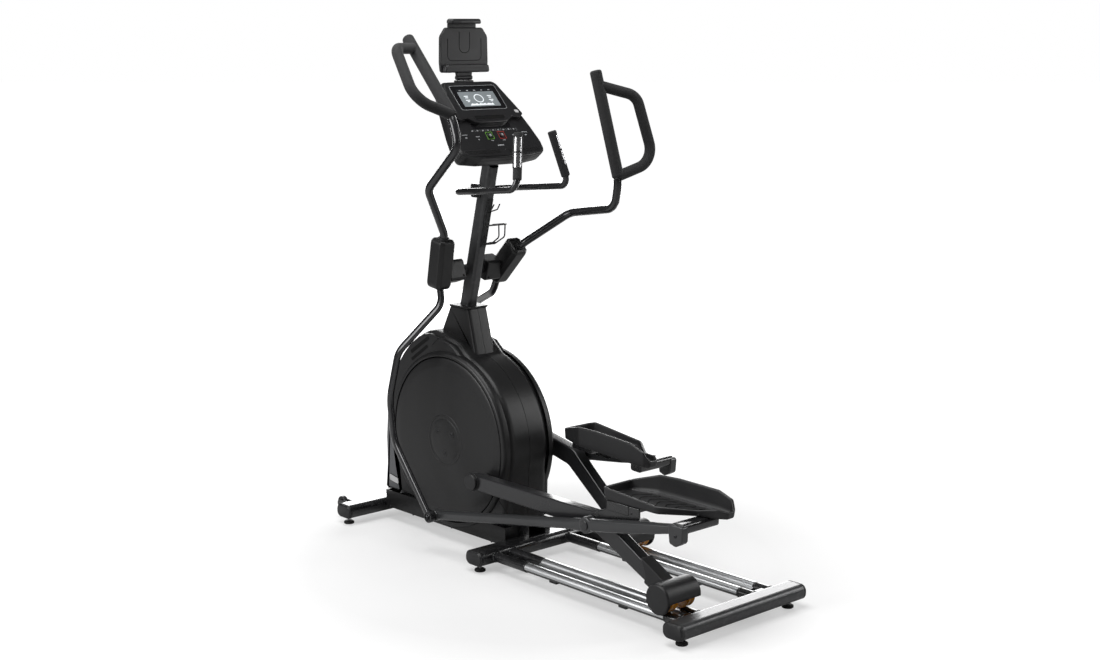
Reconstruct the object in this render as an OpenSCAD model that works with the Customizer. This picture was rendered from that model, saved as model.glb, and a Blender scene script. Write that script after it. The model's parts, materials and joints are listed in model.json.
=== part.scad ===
// Elliptical trainer: front drive housing, two rolling foot arms on twin rails, two swinging
// handlebars. Millimetres. +Z up, +X towards the rear, the user's right is +Y. The origin is
// on the floor, at the middle of the length and the width.

/* [Stance] */
// Distance between the front and the rear stabilizer
stance = 1900; // [1700:10:2150]
// Distance between the middle and the rear stabilizer
mid_back = 1051; // [950:1:1200]
// Half length of the front stabilizer
front_half = 305; // [290:1:400]
// Half length of the middle stabilizer
mid_half = 310; // [300:1:400]
// Half length of the rear stabilizer
rear_half = 325; // [300:1:400]
// Side distance of the levelling feet from the middle
foot_side = 275; // [250:1:280]
// Width of the stabilizer section
stab_w = 92; // [80:1:120]
// Height of the stabilizer section
stab_h = 56; // [50:1:70]
// Wall of the stabilizers and the base beam
stab_wall = 3; // [2:0.5:5]
// Height of the levelling feet
foot_h = 28; // [22:1:40]
// Diameter of the foot pads
foot_d = 43; // [36:1:52]
// Diameter of the transport wheels
wheel_d = 56; // [40:1:64]
// Forward offset of the transport wheels from the front stabilizer
wheel_out = 80; // [80:1:100]

/* [Rails] */
// Side distance of the inner rail tubes
rail_in = 146; // [142:1:152]
// Side distance of the outer rail tubes
rail_out = 230; // [226:1:236]
// Outside diameter of the rail sleeves
rail_d = 38; // [32:1:40]
// Wall of the bright rail sleeves
sleeve_wall = 2; // [1:0.5:3]
// Wall of the rail tubes
rail_wall = 2.5; // [1.5:0.5:4]
// Length of the bright sleeves
sleeve_len = 722; // [700:1:760]
// Distance from the rear stabilizer to the end of the sleeves
sleeve_back = 109; // [105:1:125]

/* [Drive] */
// Distance from the rear stabilizer forward to the crank axis
crank_back = 1429; // [1400:1:1460]
// Height of the crank axis
crank_z = 419; // [400:1:440]
// Crank radius
crank_r = 281; // [240:1:290]
// Crank angle below the horizontal of the left pin
crank_a = 21.8; // [0:0.1:40]
// Radius of the crank axle
axle_r = 12.5; // [9:0.5:15]
// Radius of the side discs
disc_r = 331; // [310:1:340]
// Radius of the drive pulley
pulley_r = 130; // [100:1:160]
// Radius of the flywheel
fly_r = 122; // [90:1:125]
// Radius of the flywheel pulley
fly_pulley_r = 24; // [16:1:30]
// Distance from the crank axis forward to the flywheel
fly_front = 270; // [262:1:275]
// Radial running clearance of the shafts
run = 0.05; // [0.02:0.01:0.1]

/* [Housing] */
// Half width of the housing
case_half = 118; // [110:1:120]
// Half width of the raised middle band
band_half = 86; // [60:1:100]
// Step from the middle band down to the sides
band_step = 10; // [4:1:14]
// Wall of the housing
case_wall = 3; // [2:0.5:4]
// Height of the lower edge of the housing
case_low = 127; // [120:1:135]

/* [Foot arms] */
// Distance from the crank pin to the roller axle
arm_len = 1061.5; // [1000:0.5:1100]
// Distance along the arm from the crank pin to the pedal link joint
joint_along = 676; // [640:1:700]
// Rise of the pedal link joint above the straight line between pin and roller
joint_rise = 115; // [90:1:130]
// Height of the foot arm section
arm_h = 62; // [50:1:70]
// Width of the foot arm section
arm_w = 46; // [40:1:50]
// Outside radius of the roller cover
cover_r = 55; // [55:0.5:60]
// Radius of the roller axle
roller_axle_r = 8; // [6:0.5:10]
// Width of one roller
roller_w = 30; // [24:1:32]
// Length of the pedal link from its joint to the handlebar
link_len = 871.3; // [860:0.1:880]
// Height of the pedal link tube
link_h = 46; // [36:1:52]
// Width of the pedal link tube
link_w = 38; // [30:1:40]

/* [Pedals] */
// Length of a pedal
pedal_len = 478; // [400:1:500]
// Width of a pedal
pedal_w = 182; // [150:1:190]
// Side distance of the pedal's inner edge from the middle
pedal_in = 52; // [45:1:60]
// Height of the pedal floor above the link joint
pedal_up = 108; // [106:1:130]
// Height of the outer pedal wall
pedal_wall_h = 50; // [30:1:60]

/* [Handlebars] */
// Height of the handlebar pivot
pivot_z = 1094; // [1060:1:1130]
// Radius of the pivot shaft
pivot_r = 12.5; // [10:0.5:15]
// Swing of the handlebars either side of the middle
swing = 17.1; // [14:0.1:18]
// Radius of the upper handlebar tube
upper_r = 16; // [13:0.5:18]
// Radius of the foam grips
foam_r = 23; // [20:0.5:26]
// Side distance of the lower handlebars
lower_side = 288; // [288:1:300]

/* [Mast and console] */
// Lean of the mast towards the user
mast_lean = 14; // [8:0.1:16]
// Depth of the mast tube
mast_x = 60; // [50:1:70]
// Width of the mast tube
mast_y = 50; // [40:1:56]
// Height of the top edge of the console
console_z = 1830; // [1780:1:1880]
// Length of the console face
console_len = 365; // [340:1:400]
// Tilt of the console face
console_tilt = 50; // [40:1:60]
// Depth of the console
console_depth = 86; // [70:1:100]
// Radius of the fixed handlebar
fixed_r = 12.5; // [10:0.5:15]
// Height of the tablet holder panel
tablet_h = 184; // [150:1:220]
// Half width of the tablet holder panel
tablet_half = 118; // [100:1:140]

/* [Hidden] */
$fn = 64;
gap = 0.3;
total_len = stance + stab_w / 2 + wheel_out + wheel_d / 2;
x_rear = total_len / 2 - stab_w / 2;
x_front = x_rear - stance;
x_mid = x_rear - mid_back;
stab_z = foot_h + stab_h / 2;
stab_top = foot_h + stab_h;
rail_r = rail_d / 2;
rail_z = stab_z + 1;
groove_r = 46.7;
roller_z = rail_z + rail_r + groove_r + gap;
sleeve_end = x_rear - sleeve_back;
crank_x = x_rear - crank_back;
pivot_x = crank_x;
beam_h = 50;
beam_top = stab_top + beam_h;
// foot arm plane: inner face, outer face
arm_in = 166;
arm_out = arm_in + arm_w;
link_in = arm_out + 20;
link_out = link_in + link_w;
disc_out = 136;
joint_pin_r = 11;
hinge_h = [-192, -926];
// side 0 is left, side 1 is right: crank pin, roller, arm pitch, link joint and link angle
pins = [for (k = [1, -1]) [crank_x + k * crank_r * cos(crank_a), crank_z - k * crank_r * sin(crank_a)]];
rollers = [for (p = pins) p.x + sqrt(arm_len * arm_len - (p.y - roller_z) * (p.y - roller_z))];
pitches = [for (p = pins) asin((p.y - roller_z) / arm_len)];
joint_l = [-(arm_len - joint_along), joint_rise];
joints = [for (i = [0, 1]) [rollers[i], roller_z] + turn(joint_l, pitches[i])];
swings = [-swing, swing];
hinges = [for (i = [0, 1]) [pivot_x, pivot_z] + turn(hinge_h, swings[i])];
link_as = [for (i = [0, 1]) -atan2(joints[i].y - hinges[i].y, joints[i].x - hinges[i].x)];
pedal_tilt = -link_as[0];
// mast: its centre line meets the beam at mast_base_x
mast_base_x = pivot_x + 25 - (pivot_z - beam_top) * tan(mast_lean);
function mast_at(z) = mast_base_x + (z - beam_top) * tan(mast_lean);
con_x = pivot_x - 5;
fly_x = crank_x - fly_front;
bar_z = 1412;
bar_x = mast_at(bar_z) - (mast_x / 2) / cos(mast_lean) - fixed_r;

// ---- helpers ----
// turn a point [x, z] by a about the Y axis
function turn(p, a) = [p.x * cos(a) + p.y * sin(a), -p.x * sin(a) + p.y * cos(a)];
function unit(v) = v / norm(v);
function slerp(a, b, w, t) = (a * sin((1 - t) * w) + b * sin(t * w)) / sin(w);
// points of the bend of radius r at b
function bend(a, b, c, r, n) =
  let(u = unit(a - b), v = unit(c - b), h = acos(u * v) / 2, d = r / tan(h),
      o = b + unit(u + v) * r / sin(h), p = b + u * d - o, q = b + v * d - o, w = 180 - 2 * h)
  [for (i = [0:n]) o + slerp(p, q, w, i / n)];
// a route through points w with bend radii r
function route(w, r, n) = concat([w[0]],
  [for (i = [1:len(w) - 2]) each bend(w[i - 1], w[i], w[i + 1], r[i - 1], n)], [w[len(w) - 1]]);
function tangent(p, i) = unit(p[min(i + 1, len(p) - 1)] - p[max(i - 1, 0)]);
function across(v, t) = unit(v - (v * t) * t);
// normals carried along the route
function normals(p, n0) = [for (i = 0, n = across(n0, tangent(p, 0)); i < len(p);
  i = i + 1, n = across(n, tangent(p, min(i, len(p) - 1)))) n];
function ring(c, t, n, a, b, s) = let(m = cross(t, n))
  [for (k = [0:s - 1]) c + n * a * cos(360 * k / s) + m * b * sin(360 * k / s)];
// a tube along the route: section half axes a along the normal and b across it, wall w (0 is solid)
module tube(p, a, b, w, n0, s = 14) {
  n = normals(p, n0);
  m = len(p);
  outer = [for (i = [0:m - 1]) each ring(p[i], tangent(p, i), n[i], a, b, s)];
  inner = w > 0 ? [for (i = [0:m - 1]) each ring(p[i], tangent(p, i), n[i], a - w, b - w, s)] : [];
  o = m * s;
  e = (m - 1) * s;
  skin = [for (i = [0:m - 2], k = [0:s - 1]) let(q = (k + 1) % s)
    [i * s + k, (i + 1) * s + k, (i + 1) * s + q, i * s + q]];
  bore = w > 0 ? [for (i = [0:m - 2], k = [0:s - 1]) let(q = (k + 1) % s)
    [o + i * s + q, o + (i + 1) * s + q, o + (i + 1) * s + k, o + i * s + k]] : [];
  ends = w > 0 ? [for (k = [0:s - 1]) let(q = (k + 1) % s) each
      [[k, q, o + q, o + k], [e + q, e + k, o + e + k, o + e + q]]] :
    [[for (k = [0:s - 1]) k], [for (k = [s - 1:-1:0]) e + k]];
  polyhedron(concat(outer, inner), concat(skin, bore, ends), convexity = 8);
}
module pill(w, h, r) { offset(r) square([w - 2 * r, h - 2 * r], center = true); }
// outline in the XZ plane, extruded in Y from y0 to y1
module slab(y0, y1) { translate([0, y1, 0]) rotate([90, 0, 0]) linear_extrude(y1 - y0) children(); }
// cylinder along Y from y0 to y1
module rod(x, z, r, y0, y1, f = 64) {
  translate([x, y1, z]) rotate([90, 0, 0]) cylinder(r = r, h = y1 - y0, $fn = f);
}
module left() { mirror([0, 1, 0]) children(); }
module both() {
  children();
  mirror([0, 1, 0]) children();
}

// ---- base ----
module stab_section() { pill(stab_w, stab_h, 24); }
module stab_solid(x, half) { translate([x, 0, stab_z]) slab(-half, half) stab_section(); }
module stab_tube(x, half) {
  translate([x, 0, stab_z]) slab(-half, half) difference() {
    stab_section();
    offset(-stab_wall) stab_section();
  }
}
cap_t = 14;
module front_stabilizer() {
  color("#2b2b2d") {
    stab_tube(x_front, front_half - cap_t);
    // forks for the transport wheels
    both() for (y = [foot_side - 45, foot_side - 13]) difference() {
      union() {
        translate([x_front - wheel_out, y - 2, stab_z + 6]) cube([wheel_out, 4, 20]);
        rod(x_front - wheel_out, stab_z + 10, 16, y - 2, y + 2);
      }
      stab_solid(x_front, front_half);
    }
    both() rod(x_front - wheel_out, stab_z + 10, 5, foot_side - 43, foot_side - 15, 32);
  }
}
module mid_stabilizer() { color("#2b2b2d") stab_tube(x_mid, mid_half - cap_t); }
module rear_stabilizer() { color("#3a3a3c") stab_tube(x_rear, rear_half - cap_t); }
module stabilizer_caps() {
  color("#1b1b1c") both() for (s = [[x_front, front_half], [x_mid, mid_half], [x_rear, rear_half]])
    translate([s.x, 0, stab_z]) {
      slab(s.y - cap_t, s.y - 4) stab_section();
      slab(s.y - 4, s.y) offset(-4) stab_section();
    }
}
module foot_studs() {
  color("#8a8a8c") both() for (x = [x_front, x_mid, x_rear]) translate([x, foot_side, 12]) {
    cylinder(r = 6, h = foot_h - 12, $fn = 32);
    translate([0, 0, foot_h - 20]) cylinder(r = 11, h = 8, $fn = 6);
  }
}
module foot_pads() {
  color("#171717") both() for (x = [x_front, x_mid, x_rear]) translate([x, foot_side, 0])
    rotate_extrude() polygon([[0, 0], [foot_d / 2 - 2, 0], [foot_d / 2, 2], [foot_d / 2, 8],
      [foot_d / 2 - 6, 12], [0, 12]]);
}
module wheel() {
  rotate([90, 0, 0]) rotate_extrude() polygon([[5 + run, -12], [14, -12], [14, -10],
    [wheel_d / 2 - 3, -10], [wheel_d / 2, -7], [wheel_d / 2, 7], [wheel_d / 2 - 3, 10], [14, 10],
    [14, 12], [5 + run, 12]]);
}
module transport_wheel(k) {
  color("#222223") translate([x_front - wheel_out, k * (foot_side - 29), stab_z + 10]) wheel();
}
module transport_wheel_left() { transport_wheel(-1); }
module transport_wheel_right() { transport_wheel(1); }

// ---- base frame: beam, crank tower, flywheel brackets ----
tower_x = 76;
module base_frame() {
  color("#2b2b2d") difference() {
    union() {
      difference() {
        translate([x_front - 20, -45, stab_top]) cube([x_mid - x_front + 40, 90, beam_h]);
        translate([x_front - 21, -45 + stab_wall, stab_top + stab_wall])
          cube([x_mid - x_front + 42, 90 - 2 * stab_wall, beam_h - 2 * stab_wall]);
      }
      // crank tower: two cheeks and the bearing housing
      both() translate([crank_x - tower_x / 2, 38, beam_top]) cube([tower_x, 7, crank_z - beam_top]);
      rod(crank_x, crank_z, 38, -60, 60);
      // flywheel brackets
      both() translate([fly_x - 30, 27, beam_top]) cube([60, 6, crank_z - beam_top]);
      both() rod(fly_x, crank_z, 30, 24, 36);
    }
    rod(crank_x, crank_z, axle_r + run, -61, 61);
    rod(fly_x, crank_z, 8 + run, -53, 53, 48);
  }
}
module mast_outline(grow) {
  translate([mast_base_x, 0, beam_top]) rotate([0, mast_lean, 0]) translate([0, 0, -60])
    linear_extrude((console_z - beam_top) / cos(mast_lean) - 48) pill(mast_x + 2 * grow, mast_y + 2 * grow, 16 + grow);
}
module console_place() { translate([con_x, 0, console_z]) rotate([0, console_tilt, 0]) children(); }
module mast() {
  color("#3b3b3e") difference() {
    mast_outline(0);
    mast_outline(-3);
    translate([mast_base_x - 200, -100, beam_top - 200]) cube([400, 200, 200]);
    console_place() translate([-400, -200, -console_depth]) cube([1200, 400, 900]);
    rod(pivot_x, pivot_z, pivot_r + 10, -60, 60);
  }
}
module pivot_axle() {
  color("#3b3b3e") {
    rod(pivot_x, pivot_z, pivot_r + 10, -57, 57);
    rod(pivot_x, pivot_z, pivot_r, -193, 193);
    both() rod(pivot_x, pivot_z, pivot_r + 2.5, 190.5, 193);
  }
}

// ---- rails ----
rail_x0 = x_mid + stab_w / 2;
rail_x1 = x_rear - stab_w / 2;
module along(y, r, x0, x1, f = 64) {
  translate([x0, y, rail_z]) rotate([0, 90, 0]) cylinder(r = r, h = x1 - x0, $fn = f);
}
module rail_frame_right() {
  color("#232325") difference() {
    union() {
      for (y = [rail_in, rail_out]) {
        along(y, rail_r - sleeve_wall, rail_x0 - 8, rail_x1 + 8);
        along(y, rail_r, rail_x0 - 8, sleeve_end - sleeve_len);
        along(y, rail_r, sleeve_end, rail_x1 + 8);
      }
      translate([rail_x0 + 50, rail_in, rail_z - 14]) cube([40, rail_out - rail_in, 6]);
      translate([rail_x1 - 22, rail_in, rail_z - 12]) cube([24, rail_out - rail_in, 24]);
    }
    for (y = [rail_in, rail_out]) along(y, rail_r - sleeve_wall - rail_wall, rail_x0 - 9, rail_x1 + 9);
    stab_solid(x_mid, mid_half);
    stab_solid(x_rear, rear_half);
  }
}
module rail_frame_left() { left() rail_frame_right(); }
module rail_sleeves() {
  color("#b9babc") both() for (y = [rail_in, rail_out]) difference() {
    along(y, rail_r, sleeve_end - sleeve_len, sleeve_end);
    along(y, rail_r - sleeve_wall, sleeve_end - sleeve_len - 1, sleeve_end + 1);
  }
}

// ---- housing ----
// outline about the crank axis, from the lower front corner round to the lower rear corner
case_r = 357;
case_pts = concat([[-420, case_low - crank_z], [-425, -60], [-410, 100], [-372, 205], [-300, 312],
  [-196, 402], [-120, 424], [40, 392]],
  [for (a = [74:-4:-14]) [case_r * cos(a), case_r * sin(a)]], [[343, case_low - crank_z]]);
neck_half = 50;
neck_pts = [[-140, 300], [-122, 420], [-68, 528], [46, 528], [98, 330]];
module neck_outline(inset) { translate([crank_x, crank_z]) offset(delta = -inset) polygon(neck_pts); }
module case_outline(inset) { translate([crank_x, crank_z]) offset(delta = -inset) polygon(case_pts); }
module case_half_shell() {
  difference() {
    union() {
      slab(0, band_half) case_outline(0);
      slab(band_half, case_half) case_outline(band_step);
      slab(0, neck_half) neck_outline(0);
    }
    slab(-1, neck_half - case_wall) neck_outline(case_wall);
    slab(-1, band_half - case_wall) case_outline(case_wall);
    slab(band_half - case_wall - 1, case_half - case_wall) case_outline(band_step + case_wall);
    // open lower side
    translate([crank_x - 500, -1, case_low - 1]) cube([1000, case_half - case_wall + 1, 12]);
    // crank hole
    rod(crank_x, crank_z, 46, case_half - 10, case_half + 1);
    // louvres in the upper front of the side
    for (k = [0:4]) translate([crank_x - 216 + 17 * k, case_half, crank_z + 322 + 7 * k]) rotate([0, 52, 0])
      cube([6, 12, 60], center = true);
    // mast passage
    mast_outline(1.5);
    // middle seam
    translate([crank_x - 600, -1, 0]) cube([1200, 1.2, 1200]);
  }
}
module side_case_right() { color("#1d1d1f") case_half_shell(); }
module side_case_left() { color("#1d1d1f") left() case_half_shell(); }
module front_panel() {
  color("#76777a") difference() {
    slab(-band_half, band_half) difference() {
      intersection() {
        case_outline(-6);
        translate([crank_x - 500, case_low]) square([260, 420]);
      }
      case_outline(0);
      translate([crank_x - 350, 0]) square([800, 1200]);
    }
    beam_slot();
  }
}
module beam_slot() { translate([crank_x - 500, -45.2, stab_top - 0.2]) cube([1000, 90.4, beam_h + 0.4]); }
module base_cover() {
  color("#19191a") difference() {
    translate([crank_x - 420, -case_half, case_low - 72]) cube([763, 2 * case_half, 72]);
    translate([crank_x - 416, -case_half + 4, case_low - 73]) cube([755, 2 * case_half - 8, 74]);
    beam_slot();
    stab_solid(x_mid, mid_half);
  }
}

// ---- drive ----
module crank_disc_right() {
  color("#202022") translate([crank_x, 0, crank_z]) rotate([-90, 0, 0]) difference() {
    rotate_extrude($fn = 96) polygon([[axle_r, 130], [disc_r - 14, 130], [disc_r - 8, 120], [disc_r, 120],
      [disc_r, 126], [disc_r - 10, 135], [disc_r - 34, disc_out], [axle_r, disc_out]]);
  }
}
module crank_disc_left() { left() crank_disc_right(); }
module hub_caps() {
  color("#2a2a2c") both() difference() {
    rod(crank_x, crank_z, 92, disc_out, disc_out + 3);
    for (a = [90, 210, 330])
      rod(crank_x + 58 * cos(a), crank_z + 58 * sin(a), 9, disc_out + 1.5, disc_out + 4, 32);
  }
}
module crank_axle() {
  color("#6c6d70") {
    rod(crank_x, crank_z, axle_r, -disc_out, disc_out);
    for (k = [1, -1]) translate([crank_x, 0, crank_z]) rotate([0, crank_a + (k > 0 ? 180 : 0), 0])
      translate([0, k > 0 ? 119.5 : -129.5, 0]) difference() {
        union() {
          translate([0, 0, -20]) cube([crank_r, 10, 40]);
          rod(crank_r, 0, 20, 0, 10);
          rod(0, 0, 30, 0, 10);
        }
      }
  }
}
belt_y = 72;
module drive_pulley() {
  color("#3a3a3c") difference() {
    union() {
      rod(crank_x, crank_z, pulley_r, belt_y, belt_y + 16);
      rod(crank_x, crank_z, 30, belt_y - 8, belt_y + 24);
    }
    rod(crank_x, crank_z, axle_r, belt_y - 10, belt_y + 30);
    for (a = [0:60:300]) rod(crank_x + 80 * cos(a), crank_z + 80 * sin(a), 24, belt_y - 1, belt_y + 17, 48);
  }
}
fly_y = 42;
module flywheel() {
  color("#55565a") {
    difference() {
      union() {
        rod(fly_x, crank_z, fly_r, -fly_y - 30, -fly_y, 96);
        rod(fly_x, crank_z, 22, -fly_y - 30, -37);
      }
      for (s = [-fly_y - 31, -fly_y - 6]) translate([fly_x, s, crank_z]) rotate([-90, 0, 0]) difference() {
        cylinder(r = fly_r - 26, h = 7);
        translate([0, 0, -1]) cylinder(r = 30, h = 9);
      }
    }
    rod(fly_x, crank_z, 8, -fly_y - 20, belt_y, 48);
    rod(fly_x, crank_z, fly_pulley_r, belt_y, belt_y + 16);
  }
}
module belt_loop(g) {
  hull() {
    translate([crank_x, crank_z]) circle(r = pulley_r + g, $fn = 96);
    translate([fly_x, crank_z]) circle(r = fly_pulley_r + g, $fn = 48);
  }
}
module drive_belt() {
  color("#111111") slab(belt_y + 1, belt_y + 15) difference() {
    belt_loop(3.4);
    belt_loop(0.5);
  }
}
module brake_magnet() {
  color("#8c2f2a") difference() {
    union() {
      translate([fly_x - 28, -45, beam_top]) cube([56, 11.5, 34]);
      translate([fly_x - 16, -fly_y - 24, beam_top + 8]) cube([32, 32, crank_z - fly_r - beam_top - 14]);
      slab(-fly_y - 27, -fly_y - 3) intersection() {
        translate([fly_x, crank_z]) difference() {
          circle(r = fly_r + 16, $fn = 96);
          circle(r = fly_r + 3, $fn = 96);
        }
        translate([fly_x - 60, crank_z - fly_r - 30]) square([120, 60]);
      }
    }
  }
}

// ---- rollers ----
module roller_axle_at(i) {
  color("#9a9b9e") rod(rollers[i], roller_z, roller_axle_r, rail_in - roller_w / 2 - 6,
    rail_out + roller_w / 2 + 5, 48);
}
module roller_axle_left() { left() roller_axle_at(0); }
module roller_axle_right() { roller_axle_at(1); }
// one roller: a flat tread that runs on the crown of the rail
tread_d = roller_z - rail_z;
module roller() {
  h = roller_w / 2;
  rotate([-90, 0, 0]) rotate_extrude($fn = 96) polygon(concat([[roller_axle_r + run, -h - 2], [16, -h - 2],
    [16, -h], [44, -h]],
    [[tread_d - rail_r - gap - 1.2, -h], [tread_d - rail_r - gap, 1.2 - h], [tread_d - rail_r - gap, h - 1.2],
      [tread_d - rail_r - gap - 1.2, h]],
    [[44, h], [16, h], [16, h + 2], [roller_axle_r + run, h + 2]]));
}
module rollers_at(i) {
  color("#c98210") for (y = [rail_in, rail_out]) translate([rollers[i], y, roller_z]) roller();
}
module rollers_left() { left() rollers_at(0); }
module rollers_right() { rollers_at(1); }
cover_in = rail_in - 40;
cover_out = rail_out + 40;
module roller_cover_at(i) {
  color("#1c1c1d") translate([rollers[i], 0, roller_z]) rotate([0, pitches[i], 0]) {
    difference() {
      rod(0, 0, cover_r, cover_in, cover_out, 96);
      rod(0, 0, cover_r - 2.5, cover_in + 2.5, cover_out - 16, 96);
      // open below, over the rails
      translate([-cover_r * 1.5, cover_in - 1, -cover_r - 20]) cube([3 * cover_r, cover_out - cover_in - 13, 46]);
      // passage for the arm
      arm_shape(1);
      rod(0, 0, 29, arm_in - 2, arm_out + 2);
    }
  }
}
module roller_cover_left() { left() roller_cover_at(0); }
module roller_cover_right() { roller_cover_at(1); }

// ---- foot arms, in the frame of the roller axle ----
function arm_line() = let(u = unit(joint_l + [arm_len, 0])) [[-arm_len, 0], joint_l, [0, 0]];
module arm_2d(g) {
  p = arm_line();
  for (k = [0, 1]) {
    d = p[k + 1] - p[k];
    n = [-d.y, d.x] / norm(d);
    h0 = (k == 0 ? arm_h / 2 - 2 : arm_h / 2 + 3) + g;
    h1 = (k == 0 ? arm_h / 2 + 3 : 25) + g;
    polygon([p[k] + n * h0, p[k + 1] + n * h1, p[k + 1] - n * h1, p[k] - n * h0]);
  }
  translate(p[1]) circle(r = arm_h / 2 + 3 + g);
  translate(p[0]) circle(r = arm_h / 2 - 2 + g);
}
module arm_shape(g) { slab(arm_in - g, arm_out + g) arm_2d(g); }
module main_arm_at(i) {
  color("#202023") translate([rollers[i], 0, roller_z]) rotate([0, pitches[i], 0]) difference() {
    union() {
      slab(arm_in, arm_out) arm_2d(0);
      rod(0, 0, 26, arm_in, arm_out);
      // boss towards the link
      rod(joint_l.x, joint_l.y, 20, arm_out, link_in - 0.5);
      rod(joint_l.x, joint_l.y, joint_pin_r, arm_out, link_out);
      rod(joint_l.x, joint_l.y, 18, link_out + 0.5, link_out + 5);
      rod(joint_l.x, joint_l.y, joint_pin_r, link_out, link_out + 1);
    }
    rod(0, 0, roller_axle_r + run, arm_in - 1, arm_out + 1, 48);
    // hollow middle of the box section
    slab(arm_in + 4, arm_out - 4) difference() {
      offset(delta = -5) arm_2d(0);
      translate([-arm_len, 0]) circle(r = 26);
      translate(joint_l) circle(r = 28);
      circle(r = 34);
    }
  }
}
module main_arm_left() { left() main_arm_at(0); }
module main_arm_right() { main_arm_at(1); }
module crank_pin_at(i) {
  color("#1a1a1b") translate([pins[i].x, 0, pins[i].y]) {
    rod(0, 0, 20, disc_out + 4, arm_in);
    rod(0, 0, 31, arm_out, arm_out + 10);
    translate([0, arm_out + 10, 0]) rotate([-90, 0, 0]) cylinder(r1 = 31, r2 = 26, h = 4);
    rod(0, 0, 36, arm_out, arm_out + 3);
  }
}
module crank_pin_left() { left() crank_pin_at(0); }
module crank_pin_right() { crank_pin_at(1); }

// ---- pedal links, in the frame of the link joint ----
module link_place(i) { translate([joints[i].x, 0, joints[i].y]) rotate([0, link_as[i], 0]) children(); }
link_back = 486;
module link_arm_at(i) {
  color("#242426") link_place(i) {
    difference() {
      union() {
        slab(link_in, link_out) {
          translate([-link_len + 14, -link_h / 2 + 6]) square([link_len - 14 - 60, link_h - 12]);
          translate([-80, -link_h / 2]) square([link_back + 50, link_h]);
          translate([-link_len, 0]) circle(r = 22);
          circle(r = 30);
        }
        // cross channels that carry the pedal
        rotate([0, pedal_tilt, 0]) {
          translate([72, pedal_in + 50, 60]) cube([110, link_in - pedal_in - 50, pedal_up - 6 - 60]);
          translate([412, pedal_in + 26, 66]) cube([56, link_out - pedal_in - 26, pedal_up - 6 - 66]);
          // web between the link tube and the first channel
          translate([0, 0, 0]) slab(link_in, link_in + 14)
            polygon([[40, 10], [210, 30], [182, pedal_up - 6], [72, pedal_up - 6]]);
        }
      }
      rod(0, 0, joint_pin_r + run, link_in - 1, link_out + 1);
      rod(-link_len, 0, 8 + run, link_in - 1, link_out + 1, 48);
      // hollow rear channel
      rotate([0, pedal_tilt, 0]) translate([418, pedal_in + 25, 71]) cube([44, link_in - pedal_in - 25, pedal_up - 82]);
    }
  }
}
module link_arm_left() { left() link_arm_at(0); }
module link_arm_right() { link_arm_at(1); }
// pedal plan: toe at the front, rounded heel
pedal_x0 = 46;
module pedal_plan(g) {
  offset(18) offset(-18 - g) polygon([[pedal_x0, pedal_in + 12], [pedal_x0 + 60, pedal_in],
    [pedal_x0 + pedal_len - 60, pedal_in], [pedal_x0 + pedal_len - 8, pedal_in + 34],
    [pedal_x0 + pedal_len, pedal_in + pedal_w / 2], [pedal_x0 + pedal_len - 20, pedal_in + pedal_w - 26],
    [pedal_x0 + pedal_len - 80, pedal_in + pedal_w - 4], [pedal_x0 + 40, pedal_in + pedal_w],
    [pedal_x0, pedal_in + pedal_w - 18]]);
}
module pedal_at(i) {
  color("#2c2c2e") link_place(i) rotate([0, pedal_tilt, 0]) difference() {
    translate([0, 0, pedal_up - 6]) linear_extrude(pedal_wall_h + 38) pedal_plan(0);
    translate([0, 0, pedal_up + 2]) linear_extrude(pedal_wall_h + 40) pedal_plan(7);
    // rim line seen from the side: high toe, falling to the heel
    translate([0, pedal_in - 10, 0]) slab(0, pedal_w + 20) polygon([[pedal_x0 - 20, pedal_up + 66],
      [pedal_x0 + 60, pedal_up + 74], [pedal_x0 + 250, pedal_up + 62], [pedal_x0 + 340, pedal_up + 40],
      [pedal_x0 + 400, pedal_up + 12], [pedal_x0 + pedal_len + 30, pedal_up + 8],
      [pedal_x0 + pedal_len + 30, pedal_up + 140], [pedal_x0 - 20, pedal_up + 140]]);
    // the outer wall is lower
    translate([pedal_x0 - 20, pedal_in + pedal_w / 2, pedal_up + pedal_wall_h])
      cube([pedal_len + 60, pedal_w, 100]);
    // tread grooves
    for (k = [0:8]) translate([pedal_x0 + 90 + 34 * k, pedal_in + pedal_w / 2, pedal_up + 2]) rotate([0, 0, 28])
      cube([5, pedal_w - 70, 3], center = true);
  }
}
module pedal_left() { left() pedal_at(0); }
module pedal_right() { pedal_at(1); }

// ---- handlebars, in the frame of the pivot at mid swing ----
module swing_place(i) { translate([pivot_x, 0, pivot_z]) rotate([0, swings[i], 0]) children(); }
barrel_r = 24;
lower_route = route([[0, 160, -8], [-14, 162, -122], [-212, 268, -268], [-300, lower_side, -440],
  [-325, lower_side, -610], [hinge_h.x - 6, lower_side, hinge_h.y + 10]], [70, 120, 260, 150], 5);
upper_route = route([[12, 160, 16], [95, 168, 135], [196, 285, 296], [425, 285, 404], [416, 281, 520],
  [212, 247, 872]], [70, 70, 60, 200], 5);
grip_top = [212, 247, 872];
grip_low = [416, 281, 520];
grip_dir = unit(grip_top - grip_low);
loop_a = grip_top - 52 * grip_dir;
loop_b = grip_top - 396 * grip_dir;
loop_route = route([loop_a, [300, 388, 808], [416, 442, 600], loop_b], [44, 52], 5);
module lower_handle_at(i) {
  color("#39393b") swing_place(i) difference() {
    union() {
      rod(0, 0, barrel_r, 60, 190);
      tube(lower_route, 17, 12, 0, [1, 0, 0], 16);
      rod(hinge_h.x, hinge_h.y, 23, lower_side - 12, lower_side + 12);
      rod(hinge_h.x, hinge_h.y, 12, link_out + 0.5, lower_side - 12, 32);
      rod(hinge_h.x, hinge_h.y, 9, lower_side + 12, lower_side + 18, 6);
    }
    rod(0, 0, pivot_r + run, 59, 191);
  }
}
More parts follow.
